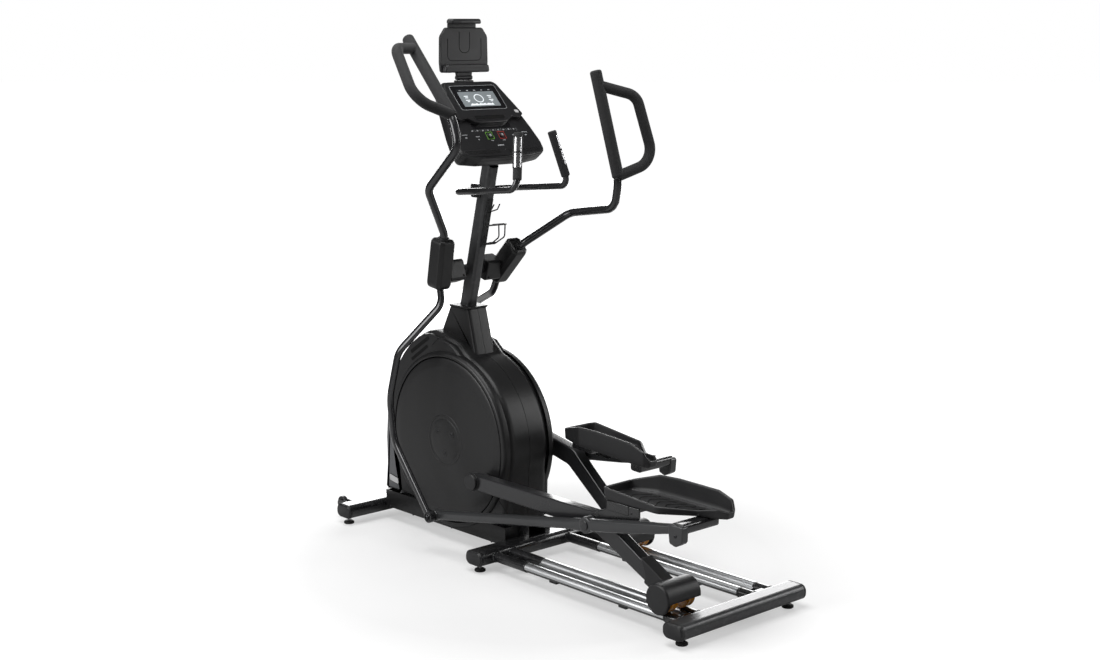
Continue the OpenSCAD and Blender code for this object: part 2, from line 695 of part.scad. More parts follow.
module lower_handle_left() { left() lower_handle_at(0); }
module lower_handle_right() { lower_handle_at(1); }
module upper_handle_at(i) {
  color("#2e2e30") swing_place(i) {
    difference() {
      tube(upper_route, upper_r, upper_r, 2.5, [0, 1, 0], 16);
      rod(0, 0, barrel_r, 60, 192);
    }
  }
}
module upper_handle_left() { left() upper_handle_at(0); }
module upper_handle_right() { upper_handle_at(1); }
module toward(p, d) { translate(p) rotate([0, acos(d.z), atan2(d.y, d.x)]) children(); }
module grip_at(i) {
  color("#161617") swing_place(i) {
    toward(grip_low + grip_dir * 6, grip_dir) difference() {
      cylinder(r = foam_r, h = norm(grip_top - grip_low) + 8, $fn = 40);
      translate([0, 0, -1]) cylinder(r = upper_r + 0.1, h = norm(grip_top - grip_low) - 4, $fn = 40);
    }
    difference() {
      tube(loop_route, foam_r - 2, foam_r - 2, 0, grip_dir, 14);
      toward(grip_low, grip_dir) cylinder(r = foam_r - 1, h = 420, $fn = 40);
    }
  }
}
module grip_left() { left() grip_at(0); }
module grip_right() { grip_at(1); }
cover_a = 27;
module cover_box(g) {
  translate([30, 160, 36]) rotate([0, cover_a, 0]) translate([0, 0, -104 - g]) linear_extrude(200 + 2 * g)
    polygon([for (s = [[-1, -1], [1, -1], [1, 1], [-1, 1]]) each
      let(a = [s.x * (42 + g), s.y * (24 + g)], b = [s.x * (28 + g), s.y * (38 + g)])
      s.x * s.y > 0 ? [a, b] : [b, a]]);
}
module cut_square(a, c) {
  polygon([[-a + c, -a], [a - c, -a], [a, -a + c], [a, a - c], [a - c, a], [c - a, a], [-a, a - c], [-a, c - a]]);
}
module pivot_cover_at(i) {
  color("#1b1b1c") swing_place(i) difference() {
    union() {
      cover_box(0);
      slab(56, 130) cut_square(42, 14);
    }
    cover_box(-3);
    slab(50, 140) cut_square(39, 12.6);
    // passages for the tubes
    translate([30, 160, 36]) rotate([0, cover_a, 0]) translate([-10.4, -13.2, 60]) cube([41, 41, 90]);
    translate([-25, 137.3, -130]) cube([50, 44.5, 92]);
  }
}
module pivot_cover_left() { left() pivot_cover_at(0); }
module pivot_cover_right() { pivot_cover_at(1); }

// ---- fixed handlebar ----
bar_half = [[bar_x, 0, bar_z], [bar_x, 128, bar_z], [pivot_x + 434, 131, bar_z + 35],
  [pivot_x + 391, 85, bar_z + 233]];
fg_top = bar_half[3];
fg_low = bar_half[2];
fg_dir = unit(fg_top - fg_low);
bar_all = concat([for (k = [3:-1:1]) [bar_half[k].x, -bar_half[k].y, bar_half[k].z]],
  [for (k = [1:3]) bar_half[k]]);
bar_route = route(bar_all, [40, 45, 45, 40], 6);
module fixed_handlebar() {
  color("#2e2e30") {
    tube(bar_route, fixed_r, fixed_r, 2, [1, 0, 0], 14);
    difference() {
      translate([bar_x - 20, -32, bar_z - 30]) cube([60, 64, 60]);
      mast_outline(0);
      rod(bar_x, bar_z, fixed_r + 0.05, -40, 40, 48);
    }
  }
}
module fixed_grips() {
  color("#18181a") both() toward(fg_low + fg_dir * 36, fg_dir) difference() {
    cylinder(r = 17, h = norm(fg_top - fg_low) - 28, $fn = 40);
    translate([0, 0, -1]) cylinder(r = fixed_r + 0.1, h = norm(fg_top - fg_low) - 35, $fn = 40);
  }
}
module pulse_plates() {
  color("#c9cacc") both() for (k = [62, 122]) toward(fg_low + fg_dir * (k + 20), fg_dir) difference() {
    cylinder(r = 18, h = 54, $fn = 40);
    translate([0, 0, -1]) cylinder(r = 17, h = 60, $fn = 40);
    translate([-30, -2, -1]) cube([60, 4, 60]);
  }
}

// ---- console, in the frame of its top edge: x down the face, z out of it ----
module console_plan(g) {
  offset(12) offset(-12 - g) polygon([[0, -138], [22, -152], [120, -172], [230, -198], [300, -210],
    [console_len - 22, -206], [console_len, -176], [console_len, 176], [console_len - 22, 206],
    [300, 210], [230, 198], [120, 172], [22, 152], [0, 138]]);
}
screen_x = 48;
screen_l = 92;
screen_half = 88;
key_x = 262;
module console_face() {
  color("#232325") console_place() difference() {
    union() {
      translate([0, 0, -18]) linear_extrude(18) console_plan(0);
      // reading ledge
      translate([188, -112, 0]) cube([16, 224, 9]);
      // lower key field
      translate([222, -150, 0]) cube([86, 300, 2]);
    }
    translate([screen_x, -screen_half, -3]) cube([screen_l, 2 * screen_half, 4]);
    translate([194, -100, 4]) cube([4, 200, 6]);
    for (y = [-30, 30]) translate([key_x, y, -13]) cylinder(r = 12.4, h = 20, $fn = 48);
    for (y = [-150:12:150]) if (abs(y) > 40) translate([328, y, -4]) cube([16, 4, 6]);
  }
}
module console_back() {
  color("#1c1c1e") {
    console_place() difference() {
      hull() {
        translate([0, 0, -19]) linear_extrude(1) console_plan(0);
        translate([0, 0, -58]) linear_extrude(1) console_plan(5);
        translate([0, 0, -console_depth]) linear_extrude(1) console_plan(44);
      }
      // inside
      translate([60, -110, -66]) cube([230, 220, 60]);
    }
    // stem and cheeks of the tablet holder
    difference() {
      union() {
        translate([con_x - 34, -34, console_z - 42]) cube([24, 68, 46]);
        for (y = [-20, 12]) hull() {
          translate([con_x - 30, y, console_z]) cube([16, 8, 4]);
          rod(con_x - 22, console_z + 14, 8, y, y + 8, 32);
        }
      }
      console_place() translate([-200, -100, -200]) cube([600, 200, 200]);
      console_place() translate([-2, -250, -150]) cube([600, 500, 300]);
      rod(con_x - 22, console_z + 14, 4, -30, 30, 32);
    }
  }
}
module console_screen() {
  color("#9fb4bd") console_place() translate([screen_x + 0.2, -screen_half + 0.2, -3])
    cube([screen_l - 0.4, 2 * screen_half - 0.4, 2.6]);
}
module key(y) {
  console_place() translate([key_x, y, 0]) {
    translate([0, 0, -9]) cylinder(r = 12, h = 12.5, $fn = 48);
    translate([0, 0, 3.5]) cylinder(r1 = 12, r2 = 11, h = 1, $fn = 48);
  }
}
module start_key() { color("#2f8f46") key(-30); }
module stop_key() { color("#a8322c") key(30); }

// ---- tablet holder ----
th_x = con_x - 22;
th_z = console_z + 14;
module tablet_outline(g) {
  offset(8) offset(-8 - g) polygon([[-tablet_half, 18], [tablet_half, 18], [tablet_half + 2, 60],
    [tablet_half, tablet_h - 26], [tablet_half - 26, tablet_h + 10], [-tablet_half + 26, tablet_h + 10],
    [-tablet_half, tablet_h - 26], [-tablet_half - 2, 60]]);
}
module tablet_holder() {
  color("#19191b") {
    translate([th_x - 8, 0, th_z]) rotate([90, 0, 90]) linear_extrude(14) tablet_outline(0);
    // raised frame lines
    translate([th_x + 6, 0, th_z]) rotate([90, 0, 90]) linear_extrude(2) difference() {
      tablet_outline(26);
      tablet_outline(32);
    }
    // lip
    translate([th_x + 6, -tablet_half + 24, th_z + 19]) cube([22, 2 * tablet_half - 48, 7]);
    translate([th_x + 22, -tablet_half + 24, th_z + 26]) cube([6, 2 * tablet_half - 48, 9]);
    // lug and pin
    difference() {
      translate([th_x - 7, -11.7, th_z - 8]) cube([13, 23.4, 27]);
      translate([th_x - 20, -30, th_z - 30]) cube([4, 60, 60]);
    }
    rod(th_x, th_z, 4 - run, -26, 26, 32);
  }
}
module tablet_clip() {
  color("#19191b") {
    translate([th_x - 13, -76, th_z + tablet_h - 50]) cube([4.7, 152, 84]);
    translate([th_x - 13, -76, th_z + tablet_h + 34]) cube([40, 152, 8]);
    translate([th_x + 21, -76, th_z + tablet_h + 24]) cube([6, 152, 12]);
  }
}

// ---- bottle holder on the rear of the mast ----
bottle_z = 1240;
bottle_x = mast_at(bottle_z + 75) + mast_x / 2 + 52;
module bottle_holder() {
  color("#151516") difference() {
    union() {
      translate([bottle_x, 0, bottle_z]) {
        cylinder(r = 42, h = 8);
        translate([0, 0, 60]) cylinder(r = 42, h = 12);
        translate([0, 0, 132]) cylinder(r = 42, h = 14);
        for (a = [0, 90, 180, 270]) rotate(a) translate([36.5, -8, 0]) cube([5, 16, 140]);
      }
      translate([bottle_x - 80, -12, bottle_z + 30]) cube([44, 24, 70]);
    }
    translate([bottle_x, 0, bottle_z + 4]) cylinder(r = 38, h = 200);
    mast_outline(0);
    translate([bottle_x - 300, -100, bottle_z - 10]) cube([210, 200, 200]);
  }
}

front_stabilizer();
mid_stabilizer();
rear_stabilizer();
stabilizer_caps();
foot_studs();
foot_pads();
base_frame();
rail_frame_left();
rail_frame_right();
rail_sleeves();
mast();
pivot_axle();
side_case_left();
side_case_right();
front_panel();
base_cover();
fixed_handlebar();
fixed_grips();
pulse_plates();
console_back();
console_face();
console_screen();
bottle_holder();
drive_belt();
brake_magnet();
crank_disc_left();
crank_disc_right();
hub_caps();
crank_axle();
drive_pulley();
flywheel();
roller_axle_left();
roller_axle_right();
roller_cover_left();
roller_cover_right();
rollers_left();
rollers_right();
main_arm_left();
main_arm_right();
crank_pin_left();
crank_pin_right();
link_arm_left();
link_arm_right();
pedal_left();
pedal_right();
lower_handle_left();
lower_handle_right();
upper_handle_left();
upper_handle_right();
grip_left();
grip_right();
pivot_cover_left();
pivot_cover_right();
transport_wheel_left();
transport_wheel_right();
tablet_holder();
tablet_clip();
start_key();
stop_key();
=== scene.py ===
# %% [markdown]
# # An elliptical trainer
# The machine is a front drive housing with a big turning disc on each side, two foot arms that
# roll on twin rails behind it, and two handlebars that swing on a mast. Its hard parts arrive as
# a fixed frame of named nodes. This notebook gives each of them its real finish, rounds the
# moulded and pressed edges, and adds the small parts that make it read as a real machine: bolts,
# seams, treads, labels left blank, the screen's picture and the bottle cage.

# %% Load the frame
import json
import math

import bmesh
import bpy
from mathutils import Matrix, Vector


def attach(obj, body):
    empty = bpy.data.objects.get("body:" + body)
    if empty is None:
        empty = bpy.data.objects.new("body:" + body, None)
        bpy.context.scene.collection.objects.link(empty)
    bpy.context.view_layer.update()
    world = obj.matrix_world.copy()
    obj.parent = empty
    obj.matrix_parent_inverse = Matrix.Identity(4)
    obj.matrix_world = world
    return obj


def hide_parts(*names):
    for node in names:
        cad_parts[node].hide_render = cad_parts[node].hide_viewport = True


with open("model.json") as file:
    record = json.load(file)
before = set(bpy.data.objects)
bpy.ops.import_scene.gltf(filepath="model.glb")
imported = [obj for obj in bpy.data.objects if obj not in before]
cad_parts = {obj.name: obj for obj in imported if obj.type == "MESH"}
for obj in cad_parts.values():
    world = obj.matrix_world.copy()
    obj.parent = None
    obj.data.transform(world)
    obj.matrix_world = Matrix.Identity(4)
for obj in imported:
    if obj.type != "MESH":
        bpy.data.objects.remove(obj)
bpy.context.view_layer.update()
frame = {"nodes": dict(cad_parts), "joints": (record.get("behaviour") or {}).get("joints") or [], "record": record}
record = frame["record"]
body_of = {n: b for b, nodes in record["behaviour"]["bodies"].items() for n in nodes}
slot_of = {s["node"]: s["material_slot"] for s in record["subparts"]}
joint = {j["name"]: j for j in frame["joints"]}
MM = 0.001

# %% [markdown]
# ## Camera and studio
# A long lens from the rear left, a little above the console, keeps the rails nearly parallel. The
# room is a plain white sweep: the light comes from a pale world and a few large soft panels, which
# black plastic needs, because what we see of it is mostly the reflection of the room.

# %% Camera
AZIMUTH, ELEVATION = math.radians(47.63), math.radians(10.28)
back = Vector((math.sin(AZIMUTH) * math.cos(ELEVATION), -math.cos(AZIMUTH) * math.cos(ELEVATION),
               math.sin(ELEVATION)))
lens = bpy.data.cameras.new("studio_camera")
lens.sensor_width = 36
lens.lens = 55.1
lens.clip_end = 60
camera = bpy.data.objects.new("studio_camera", lens)
camera.location = (4.650, -4.220, 2.047)
camera.rotation_euler = back.to_track_quat("Z", "Y").to_euler()
bpy.context.scene.collection.objects.link(camera)
bpy.context.scene.camera = camera

# %% Floor, world and light panels
world = bpy.data.worlds.new("white_room")
world.use_nodes = True
sky = world.node_tree.nodes["Background"]
sky.inputs["Color"].default_value = (1, 1, 1, 1)
seen = world.node_tree.nodes.new("ShaderNodeLightPath")
level = world.node_tree.nodes.new("ShaderNodeMapRange")
level.inputs["To Min"].default_value = 0.05      # what lights the machine
level.inputs["To Max"].default_value = 1.0       # what the lens sees
world.node_tree.links.new(seen.outputs["Is Camera Ray"], level.inputs["Value"])
world.node_tree.links.new(level.outputs["Result"], sky.inputs["Strength"])
bpy.context.scene.world = world
bpy.context.scene.view_settings.view_transform = "Standard"


def light_panel(name, at, look_at, size, power):
    """A soft box: a rectangle of light that faces a point."""
    data = bpy.data.lights.new(name, "AREA")
    data.shape = "RECTANGLE"
    data.size, data.size_y = size
    data.energy = power
    o = bpy.data.objects.new(name, data)
    o.location = at
    o.rotation_euler = (Vector(at) - Vector(look_at)).to_track_quat("Z", "Y").to_euler()
    bpy.context.scene.collection.objects.link(o)
    return o


light_panel("overhead", (0.0, -0.8, 4.6), (0, 0, 0.5), (3.4, 2.6), 150)
light_panel("left_side", (-1.6, -5.0, 2.6), (-0.2, 0, 0.8), (3.6, 2.4), 170)
light_panel("far_wall", (-4.4, 4.8, 1.7), (0, 0, 0.8), (6.5, 3.2), 380)
light_panel("rear_right", (3.2, 4.2, 2.6), (0, 0, 0.9), (0.8, 3.2), 70)
light_panel("rear_strip", (5.4, 0.9, 2.0), (0, 0, 0.8), (0.35, 3.2), 16)


# %% [markdown]
# ## Shared surface effects
# Four effects turn up on nearly every finish here: the fine pebble of a mould or the orange peel of
# powder coat, the rubbed light line along an edge, the film of dust on anything that faces up, and
# lines drawn out along a bar. Each is built once as a node group with plain inputs and outputs, and
# every material sets its own values.

# %% Node group helper
def node_group(name, inputs, outputs):
    """A shader group with named float or colour inputs and outputs."""
    group = bpy.data.node_groups.new(name, "ShaderNodeTree")
    for way, sockets in (("INPUT", inputs), ("OUTPUT", outputs)):
        for label, value in sockets:
            kind = "NodeSocketColor" if isinstance(value, tuple) else "NodeSocketFloat"
            socket = group.interface.new_socket(label, in_out=way, socket_type=kind)
            if way == "INPUT":
                socket.default_value = (*value, 1) if isinstance(value, tuple) else value
    return group, group.nodes.new("NodeGroupInput"), group.nodes.new("NodeGroupOutput")


def math_node(tree, what, a, b, clamp=False):
    """One sum of two values, each a socket or a number."""
    n = tree.nodes.new("ShaderNodeMath")
    n.operation, n.use_clamp = what, clamp
    for k, v in enumerate((a, b)):
        if isinstance(v, (int, float)):
            n.inputs[k].default_value = v
        else:
            tree.links.new(v, n.inputs[k])
    return n.outputs[0]


def mix_colour(tree, share, a, b):
    """Colour a goes to colour b by share."""
    n = tree.nodes.new("ShaderNodeMix")
    n.data_type = "RGBA"
    for key, v in (("Factor_Float", share), ("A_Color", a), ("B_Color", b)):
        socket = next(s for s in n.inputs if s.identifier == key)
        if isinstance(v, tuple):
            socket.default_value = (*v, 1)
        elif isinstance(v, (int, float)):
            socket.default_value = v
        else:
            tree.links.new(v, socket)
    return next(s for s in n.outputs if s.identifier == "Result_Color")


def noise(tree, scale, detail=3.0, stretch=(1, 1, 1)):
    """Noise over the object's own coordinates, in metres."""
    place = tree.nodes.new("ShaderNodeTexCoord")
    turn = tree.nodes.new("ShaderNodeMapping")
    turn.inputs["Scale"].default_value = stretch
    n = tree.nodes.new("ShaderNodeTexNoise")
    n.inputs["Detail"].default_value = detail
    tree.links.new(place.outputs["Object"], turn.inputs["Vector"])
    tree.links.new(turn.outputs["Vector"], n.inputs["Vector"])
    if isinstance(scale, (int, float)):
        n.inputs["Scale"].default_value = scale
    else:
        tree.links.new(scale, n.inputs["Scale"])
    return n.outputs["Fac"]


# %% Grain: pebble or orange peel, with a slow drift of colour and gloss
def build_grain():
    group, gin, gout = node_group(
        "surface_grain",
        [("Color", (0.1, 0.1, 0.1)), ("Drift", 0.15), ("Grain Scale", 900.0), ("Roughness", 0.5),
         ("Roughness Drift", 0.06)],
        [("Color", (0, 0, 0)), ("Roughness", 0.0), ("Height", 0.0)])
    slow = noise(group, 6.0, 4.0)
    fine = noise(group, gin.outputs["Grain Scale"], 1.5)
    cells = group.nodes.new("ShaderNodeTexVoronoi")
    place = group.nodes.new("ShaderNodeTexCoord")
    group.links.new(place.outputs["Object"], cells.inputs["Vector"])
    group.links.new(gin.outputs["Grain Scale"], cells.inputs["Scale"])
    height = math_node(group, "ADD", math_node(group, "MULTIPLY", fine, 0.6),
                       math_node(group, "MULTIPLY", cells.outputs["Distance"], 0.6))
    # the colour runs from a shade darker to a shade lighter than the paint
    tone = math_node(group, "ADD", math_node(group, "MULTIPLY", slow, 0.7),
                     math_node(group, "MULTIPLY", fine, 0.3))
    swing = math_node(group, "MULTIPLY", math_node(group, "SUBTRACT", tone, 0.5),
                      math_node(group, "MULTIPLY", gin.outputs["Drift"], 4.0))
    lift = group.nodes.new("ShaderNodeHueSaturation")
    group.links.new(gin.outputs["Color"], lift.inputs["Color"])
    group.links.new(math_node(group, "ADD", swing, 1.0), lift.inputs["Value"])
    rough = math_node(group, "ADD", gin.outputs["Roughness"],
                      math_node(group, "MULTIPLY", math_node(group, "SUBTRACT", slow, 0.5),
                                math_node(group, "MULTIPLY", gin.outputs["Roughness Drift"], 4.0)))
    group.links.new(lift.outputs["Color"], gout.inputs["Color"])
    group.links.new(rough, gout.inputs["Roughness"])
    group.links.new(height, gout.inputs["Height"])
    return group


GRAIN = build_grain()


# %% Edge wear: a broken light line on convex edges
def build_edge_wear():
    group, gin, gout = node_group("edge_wear", [("Reach", 0.5), ("Breakup Scale", 60.0)],
                                  [("Mask", 0.0)])
    shape = group.nodes.new("ShaderNodeNewGeometry")
    edge = group.nodes.new("ShaderNodeMapRange")
    edge.inputs["From Min"].default_value = 0.54
    edge.inputs["From Max"].default_value = 0.70
    group.links.new(shape.outputs["Pointiness"], edge.inputs["Value"])
    broken = noise(group, gin.outputs["Breakup Scale"], 5.0)
    patch = math_node(group, "MULTIPLY", math_node(group, "SUBTRACT", broken, 0.50, True), 3.0,
                      True)
    mask = math_node(group, "MULTIPLY", math_node(group, "MULTIPLY", edge.outputs["Result"], patch),
                     gin.outputs["Reach"], True)
    group.links.new(mask, gout.inputs["Mask"])
    return group


EDGE_WEAR = build_edge_wear()


# %% Dust: a thin pale film where a surface faces up
def build_dust():
    group, gin, gout = node_group("settled_dust", [("Amount", 0.2)], [("Mask", 0.0)])
    shape = group.nodes.new("ShaderNodeNewGeometry")
    split = group.nodes.new("ShaderNodeSeparateXYZ")
    group.links.new(shape.outputs["Normal"], split.inputs["Vector"])
    up = math_node(group, "MULTIPLY", math_node(group, "SUBTRACT", split.outputs["Z"], 0.35, True),
                   1.5, True)
    spots = math_node(group, "ADD", math_node(group, "MULTIPLY", noise(group, 3.0, 2.0), 0.5),
                      math_node(group, "MULTIPLY", noise(group, 420.0, 2.0), 0.3))
    mask = math_node(group, "MULTIPLY", math_node(group, "MULTIPLY", up, spots),
                     gin.outputs["Amount"], True)
    group.links.new(mask, gout.inputs["Mask"])
    return group


DUST = build_dust()


# %% Drawn lines: fine streaks along the X axis, as on extruded or brushed bar
def build_drawn_lines():
    group, gin, gout = node_group("drawn_lines", [("Strength", 0.5)],
                                  [("Tone", 0.0), ("Height", 0.0)])
    fine = noise(group, 1.0, 4.0, (6.0, 1400.0, 1400.0))
    wide = noise(group, 1.0, 3.0, (2.0, 160.0, 160.0))
    both = math_node(group, "ADD", math_node(group, "MULTIPLY", fine, 0.6),
                     math_node(group, "MULTIPLY", wide, 0.4))
    tone = math_node(group, "MULTIPLY", math_node(group, "SUBTRACT", both, 0.5),
                     gin.outputs["Strength"])
    group.links.new(math_node(group, "ADD", tone, 0.5), gout.inputs["Tone"])
    group.links.new(fine, gout.inputs["Height"])
    return group


DRAWN_LINES = build_drawn_lines()
print("shared effects:", [g.name for g in bpy.data.node_groups])

# %% [markdown]
# ## Finishes
# One recipe makes every finish: grain sets the colour, gloss and bump, edge wear shows the paler
# layer under the paint or the polished plastic, and dust lightens what faces up. What is the same
# all over a surface, such as metal, coat and sheen, is set straight on the shader.

# %% The finish recipe
def finish(name, colour, rough, *, metal=0.0, coat=0.0, coat_rough=0.2, sheen=0.0, grain=900.0,
           bump=0.08, drift=0.12, rough_drift=0.05, wear=0.0, wear_colour=(0.25, 0.25, 0.26),
           dust=0.0, drawn=0.0, spec=0.5, emission=0.0):
    """A material of the shared effects round one Principled shader."""
    m = bpy.data.materials.new(name)
    m.use_nodes = True
    t = m.node_tree
    shader = t.nodes["Principled BSDF"]
    shader.inputs["Metallic"].default_value = metal
    shader.inputs["Coat Weight"].default_value = coat
    shader.inputs["Coat Roughness"].default_value = coat_rough
    shader.inputs["Sheen Weight"].default_value = sheen
    shader.inputs["Specular IOR Level"].default_value = spec
    g = t.nodes.new("ShaderNodeGroup")
    g.node_tree = GRAIN
    g.inputs["Color"].default_value = (*colour, 1)
    g.inputs["Drift"].default_value = drift
    g.inputs["Grain Scale"].default_value = grain
    g.inputs["Roughness"].default_value = rough
    g.inputs["Roughness Drift"].default_value = rough_drift
    tint, gloss, height = g.outputs["Color"], g.outputs["Roughness"], g.outputs["Height"]
    if wear:
        w = t.nodes.new("ShaderNodeGroup")
        w.node_tree = EDGE_WEAR
        w.inputs["Reach"].default_value = wear
        tint = mix_colour(t, w.outputs["Mask"], tint, wear_colour)
    if dust:
        d = t.nodes.new("ShaderNodeGroup")
        d.node_tree = DUST
        d.inputs["Amount"].default_value = dust
        tint = mix_colour(t, d.outputs["Mask"], tint, (0.32, 0.31, 0.29))
        gloss = math_node(t, "ADD", gloss, math_node(t, "MULTIPLY", d.outputs["Mask"], 0.5), True)
    if drawn:
        s = t.nodes.new("ShaderNodeGroup")
        s.node_tree = DRAWN_LINES
        s.inputs["Strength"].default_value = drawn
        gloss = math_node(t, "ADD", gloss, math_node(t, "MULTIPLY", math_node(
            t, "SUBTRACT", s.outputs["Tone"], 0.5), 0.6), True)
        height = s.outputs["Height"]
    relief = t.nodes.new("ShaderNodeBump")
    relief.inputs["Strength"].default_value = bump
    relief.inputs["Distance"].default_value = 0.0004
    t.links.new(height, relief.inputs["Height"])
    t.links.new(relief.outputs["Normal"], shader.inputs["Normal"])
    t.links.new(tint, shader.inputs["Base Color"])
    t.links.new(gloss, shader.inputs["Roughness"])
    if emission:
        t.links.new(tint, shader.inputs["Emission Color"])
        shader.inputs["Emission Strength"].default_value = emission
    m.diffuse_color = (*colour, 1)
    return m


# %% The finishes of this machine
FINISH = {
    "frame_paint": finish("black_powder_coat", (0.009, 0.009, 0.010), 0.26, coat=0.6,
                          coat_rough=0.14, grain=700, bump=0.06, wear=0.25, dust=0.02),
    "frame_grey": finish("graphite_powder_coat", (0.048, 0.049, 0.051), 0.36, metal=0.3, coat=0.3,
                         coat_rough=0.25, grain=900, bump=0.06, drift=0.05, rough_drift=0.02,
                         wear=0.3, dust=0.02),
    "arm_paint": finish("arm_powder_coat", (0.024, 0.024, 0.026), 0.28, metal=0.3, coat=0.5,
                        coat_rough=0.15, grain=900, bump=0.05, drift=0.05, rough_drift=0.02,
                        wear=0.3, dust=0.02),
    "link_paint": finish("link_powder_coat", (0.046, 0.047, 0.049), 0.32, metal=0.35, coat=0.4,
                         coat_rough=0.2, grain=900, bump=0.05, drift=0.05, rough_drift=0.02,
                         wear=0.3, dust=0.02),
    "handle_paint": finish("handlebar_lacquer", (0.026, 0.026, 0.028), 0.24, metal=0.4, coat=0.6,
                           coat_rough=0.10, grain=900, bump=0.03, drift=0.04, rough_drift=0.02,
                           wear=0.2),
    "case_plastic": finish("housing_plastic", (0.0075, 0.0075, 0.0080), 0.40, grain=1500,
                           bump=0.10, drift=0.05, wear=0.12, dust=0.02, rough_drift=0.02),
    "disc_plastic": finish("disc_plastic", (0.0085, 0.0085, 0.0090), 0.38, grain=1500, bump=0.06,
                           drift=0.04, rough_drift=0.02, wear=0.1, dust=0.01),
    "panel_grey": finish("silver_lacquer", (0.13, 0.133, 0.14), 0.34, metal=0.55, coat=0.4,
                         coat_rough=0.15, grain=2600, bump=0.03, drift=0.05, wear=0.2),
    "console_plastic": finish("console_plastic", (0.011, 0.011, 0.012), 0.38, grain=1600,
                              bump=0.10, drift=0.05, wear=0.15, dust=0.02),
    "screen": finish("screen_glass", (0.18, 0.20, 0.21), 0.10, coat=1.0, coat_rough=0.04,
                     grain=900, bump=0.0, drift=0.05, emission=0.35),
    "trim_plastic": finish("trim_plastic", (0.010, 0.010, 0.011), 0.42, grain=1500, bump=0.12,
                           drift=0.05, wear=0.2, dust=0.02),
    "cap_plastic": finish("cap_plastic", (0.012, 0.012, 0.013), 0.44, grain=1200, bump=0.12,
                          drift=0.06, wear=0.2, dust=0.03),
    "foot_rubber": finish("foot_rubber", (0.008, 0.008, 0.008), 0.74, grain=600, bump=0.2,
                          dust=0.05),
    "foam": finish("grip_foam", (0.010, 0.010, 0.011), 0.82, sheen=0.12, grain=620, bump=0.35,
                   drift=0.12, dust=0.01),
    "alloy": finish("drawn_aluminium", (0.62, 0.63, 0.64), 0.34, metal=1.0, drawn=0.35, bump=0.03,
                    drift=0.03),
    "chrome": finish("pulse_chrome", (0.72, 0.72, 0.73), 0.20, metal=1.0, grain=900, bump=0.0,
                     drift=0.03),
    "steel": finish("turned_steel", (0.38, 0.38, 0.39), 0.32, metal=1.0, grain=900, bump=0.04),
    "cast": finish("cast_iron", (0.09, 0.09, 0.09), 0.55, metal=0.8, grain=420, bump=0.25),
    "belt": finish("belt_rubber", (0.010, 0.010, 0.010), 0.7, grain=700, bump=0.2),
    "magnet": finish("magnet_paint", (0.28, 0.04, 0.03), 0.4, coat=0.3, grain=700, bump=0.08),
    "urethane": finish("amber_urethane", (0.66, 0.26, 0.010), 0.28, coat=0.4, coat_rough=0.12,
                       grain=500, bump=0.03, drift=0.08),
    "pedal_plastic": finish("pedal_plastic", (0.015, 0.015, 0.016), 0.44, grain=1000, bump=0.14,
                            drift=0.06, wear=0.25, dust=0.03),
    "key_green": finish("start_key", (0.012, 0.022, 0.012), 0.4, grain=900, bump=0.05),
    "key_red": finish("stop_key", (0.024, 0.012, 0.012), 0.4, grain=900, bump=0.05),
}
LABEL_WHITE = finish("blank_label", (0.52, 0.52, 0.52), 0.3, coat=0.5, grain=900, bump=0.01,
                     drift=0.03)
PRINT_GREY = finish("printed_mark", (0.34, 0.35, 0.36), 0.4, grain=900, bump=0.01, drift=0.05)
GREEN_RING = finish("green_key_ring", (0.16, 0.42, 0.05), 0.4, grain=900, bump=0.01, drift=0.05)
RED_RING = finish("red_key_ring", (0.45, 0.04, 0.03), 0.4, grain=900, bump=0.01, drift=0.05)
GAP_BLACK = finish("shadow_gap", (0.002, 0.002, 0.002), 0.7, spec=0.2, grain=900, bump=0.02)
BOLT_ZINC = finish("black_zinc_bolt", (0.06, 0.06, 0.063), 0.34, metal=1.0, grain=900, bump=0.05,
                   wear=0.4)
GLOSS_BLACK = finish("gloss_black", (0.006, 0.006, 0.007), 0.12, coat=0.8, coat_rough=0.06,
                     grain=900, bump=0.0)
SCREEN_DARK = finish("screen_ink", (0.015, 0.017, 0.019), 0.2, grain=900, bump=0.0)
SCREEN_LIGHT = finish("screen_light", (0.60, 0.63, 0.65), 0.2, grain=900, bump=0.0, emission=0.6)
for node_name, o in frame["nodes"].items():
    o.data.materials.clear()
    o.data.materials.append(FINISH[slot_of[node_name]])
    o.data.set_sharp_from_angle(angle=math.radians(32))
print("finishes:", len(bpy.data.materials))

# %% [markdown]
# ## Rounded edges
# A moulded or pressed part never has a knife edge, and its rounded edges are what catch the
# light. A CAD node is exact but sharp, so a copy of its mesh is welded, its flat faces are joined
# again, and a Bevel modifier rounds every edge over a set angle. The copy stands for the node.

# %% Soften a CAD node
def soften(node, width, angle=38, segments=2):
    """A copy of a CAD node with rounded edges, which stands for it."""
    source = frame["nodes"][node]
    mesh = bpy.data.meshes.new("soft_" + node)
    bm = bmesh.new()
    bm.from_mesh(source.data)
    bmesh.ops.remove_doubles(bm, verts=bm.verts, dist=0.00002)
    bmesh.ops.dissolve_limit(bm, angle_limit=math.radians(0.6), verts=bm.verts, edges=bm.edges)
    bm.to_mesh(mesh)
    bm.free()
    mesh.materials.clear()
    mesh.materials.append(source.data.materials[0])
    mesh.shade_smooth()
    o = bpy.data.objects.new("soft_" + node, mesh)
    bpy.context.scene.collection.objects.link(o)
    bevel = o.modifiers.new("round", "BEVEL")
    bevel.limit_method = "ANGLE"
    bevel.angle_limit = math.radians(angle)
    bevel.width = width
    bevel.segments = segments
    bevel.use_clamp_overlap = True
    bevel.harden_normals = True
    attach(o, body_of[node])
    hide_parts(node)
    return o


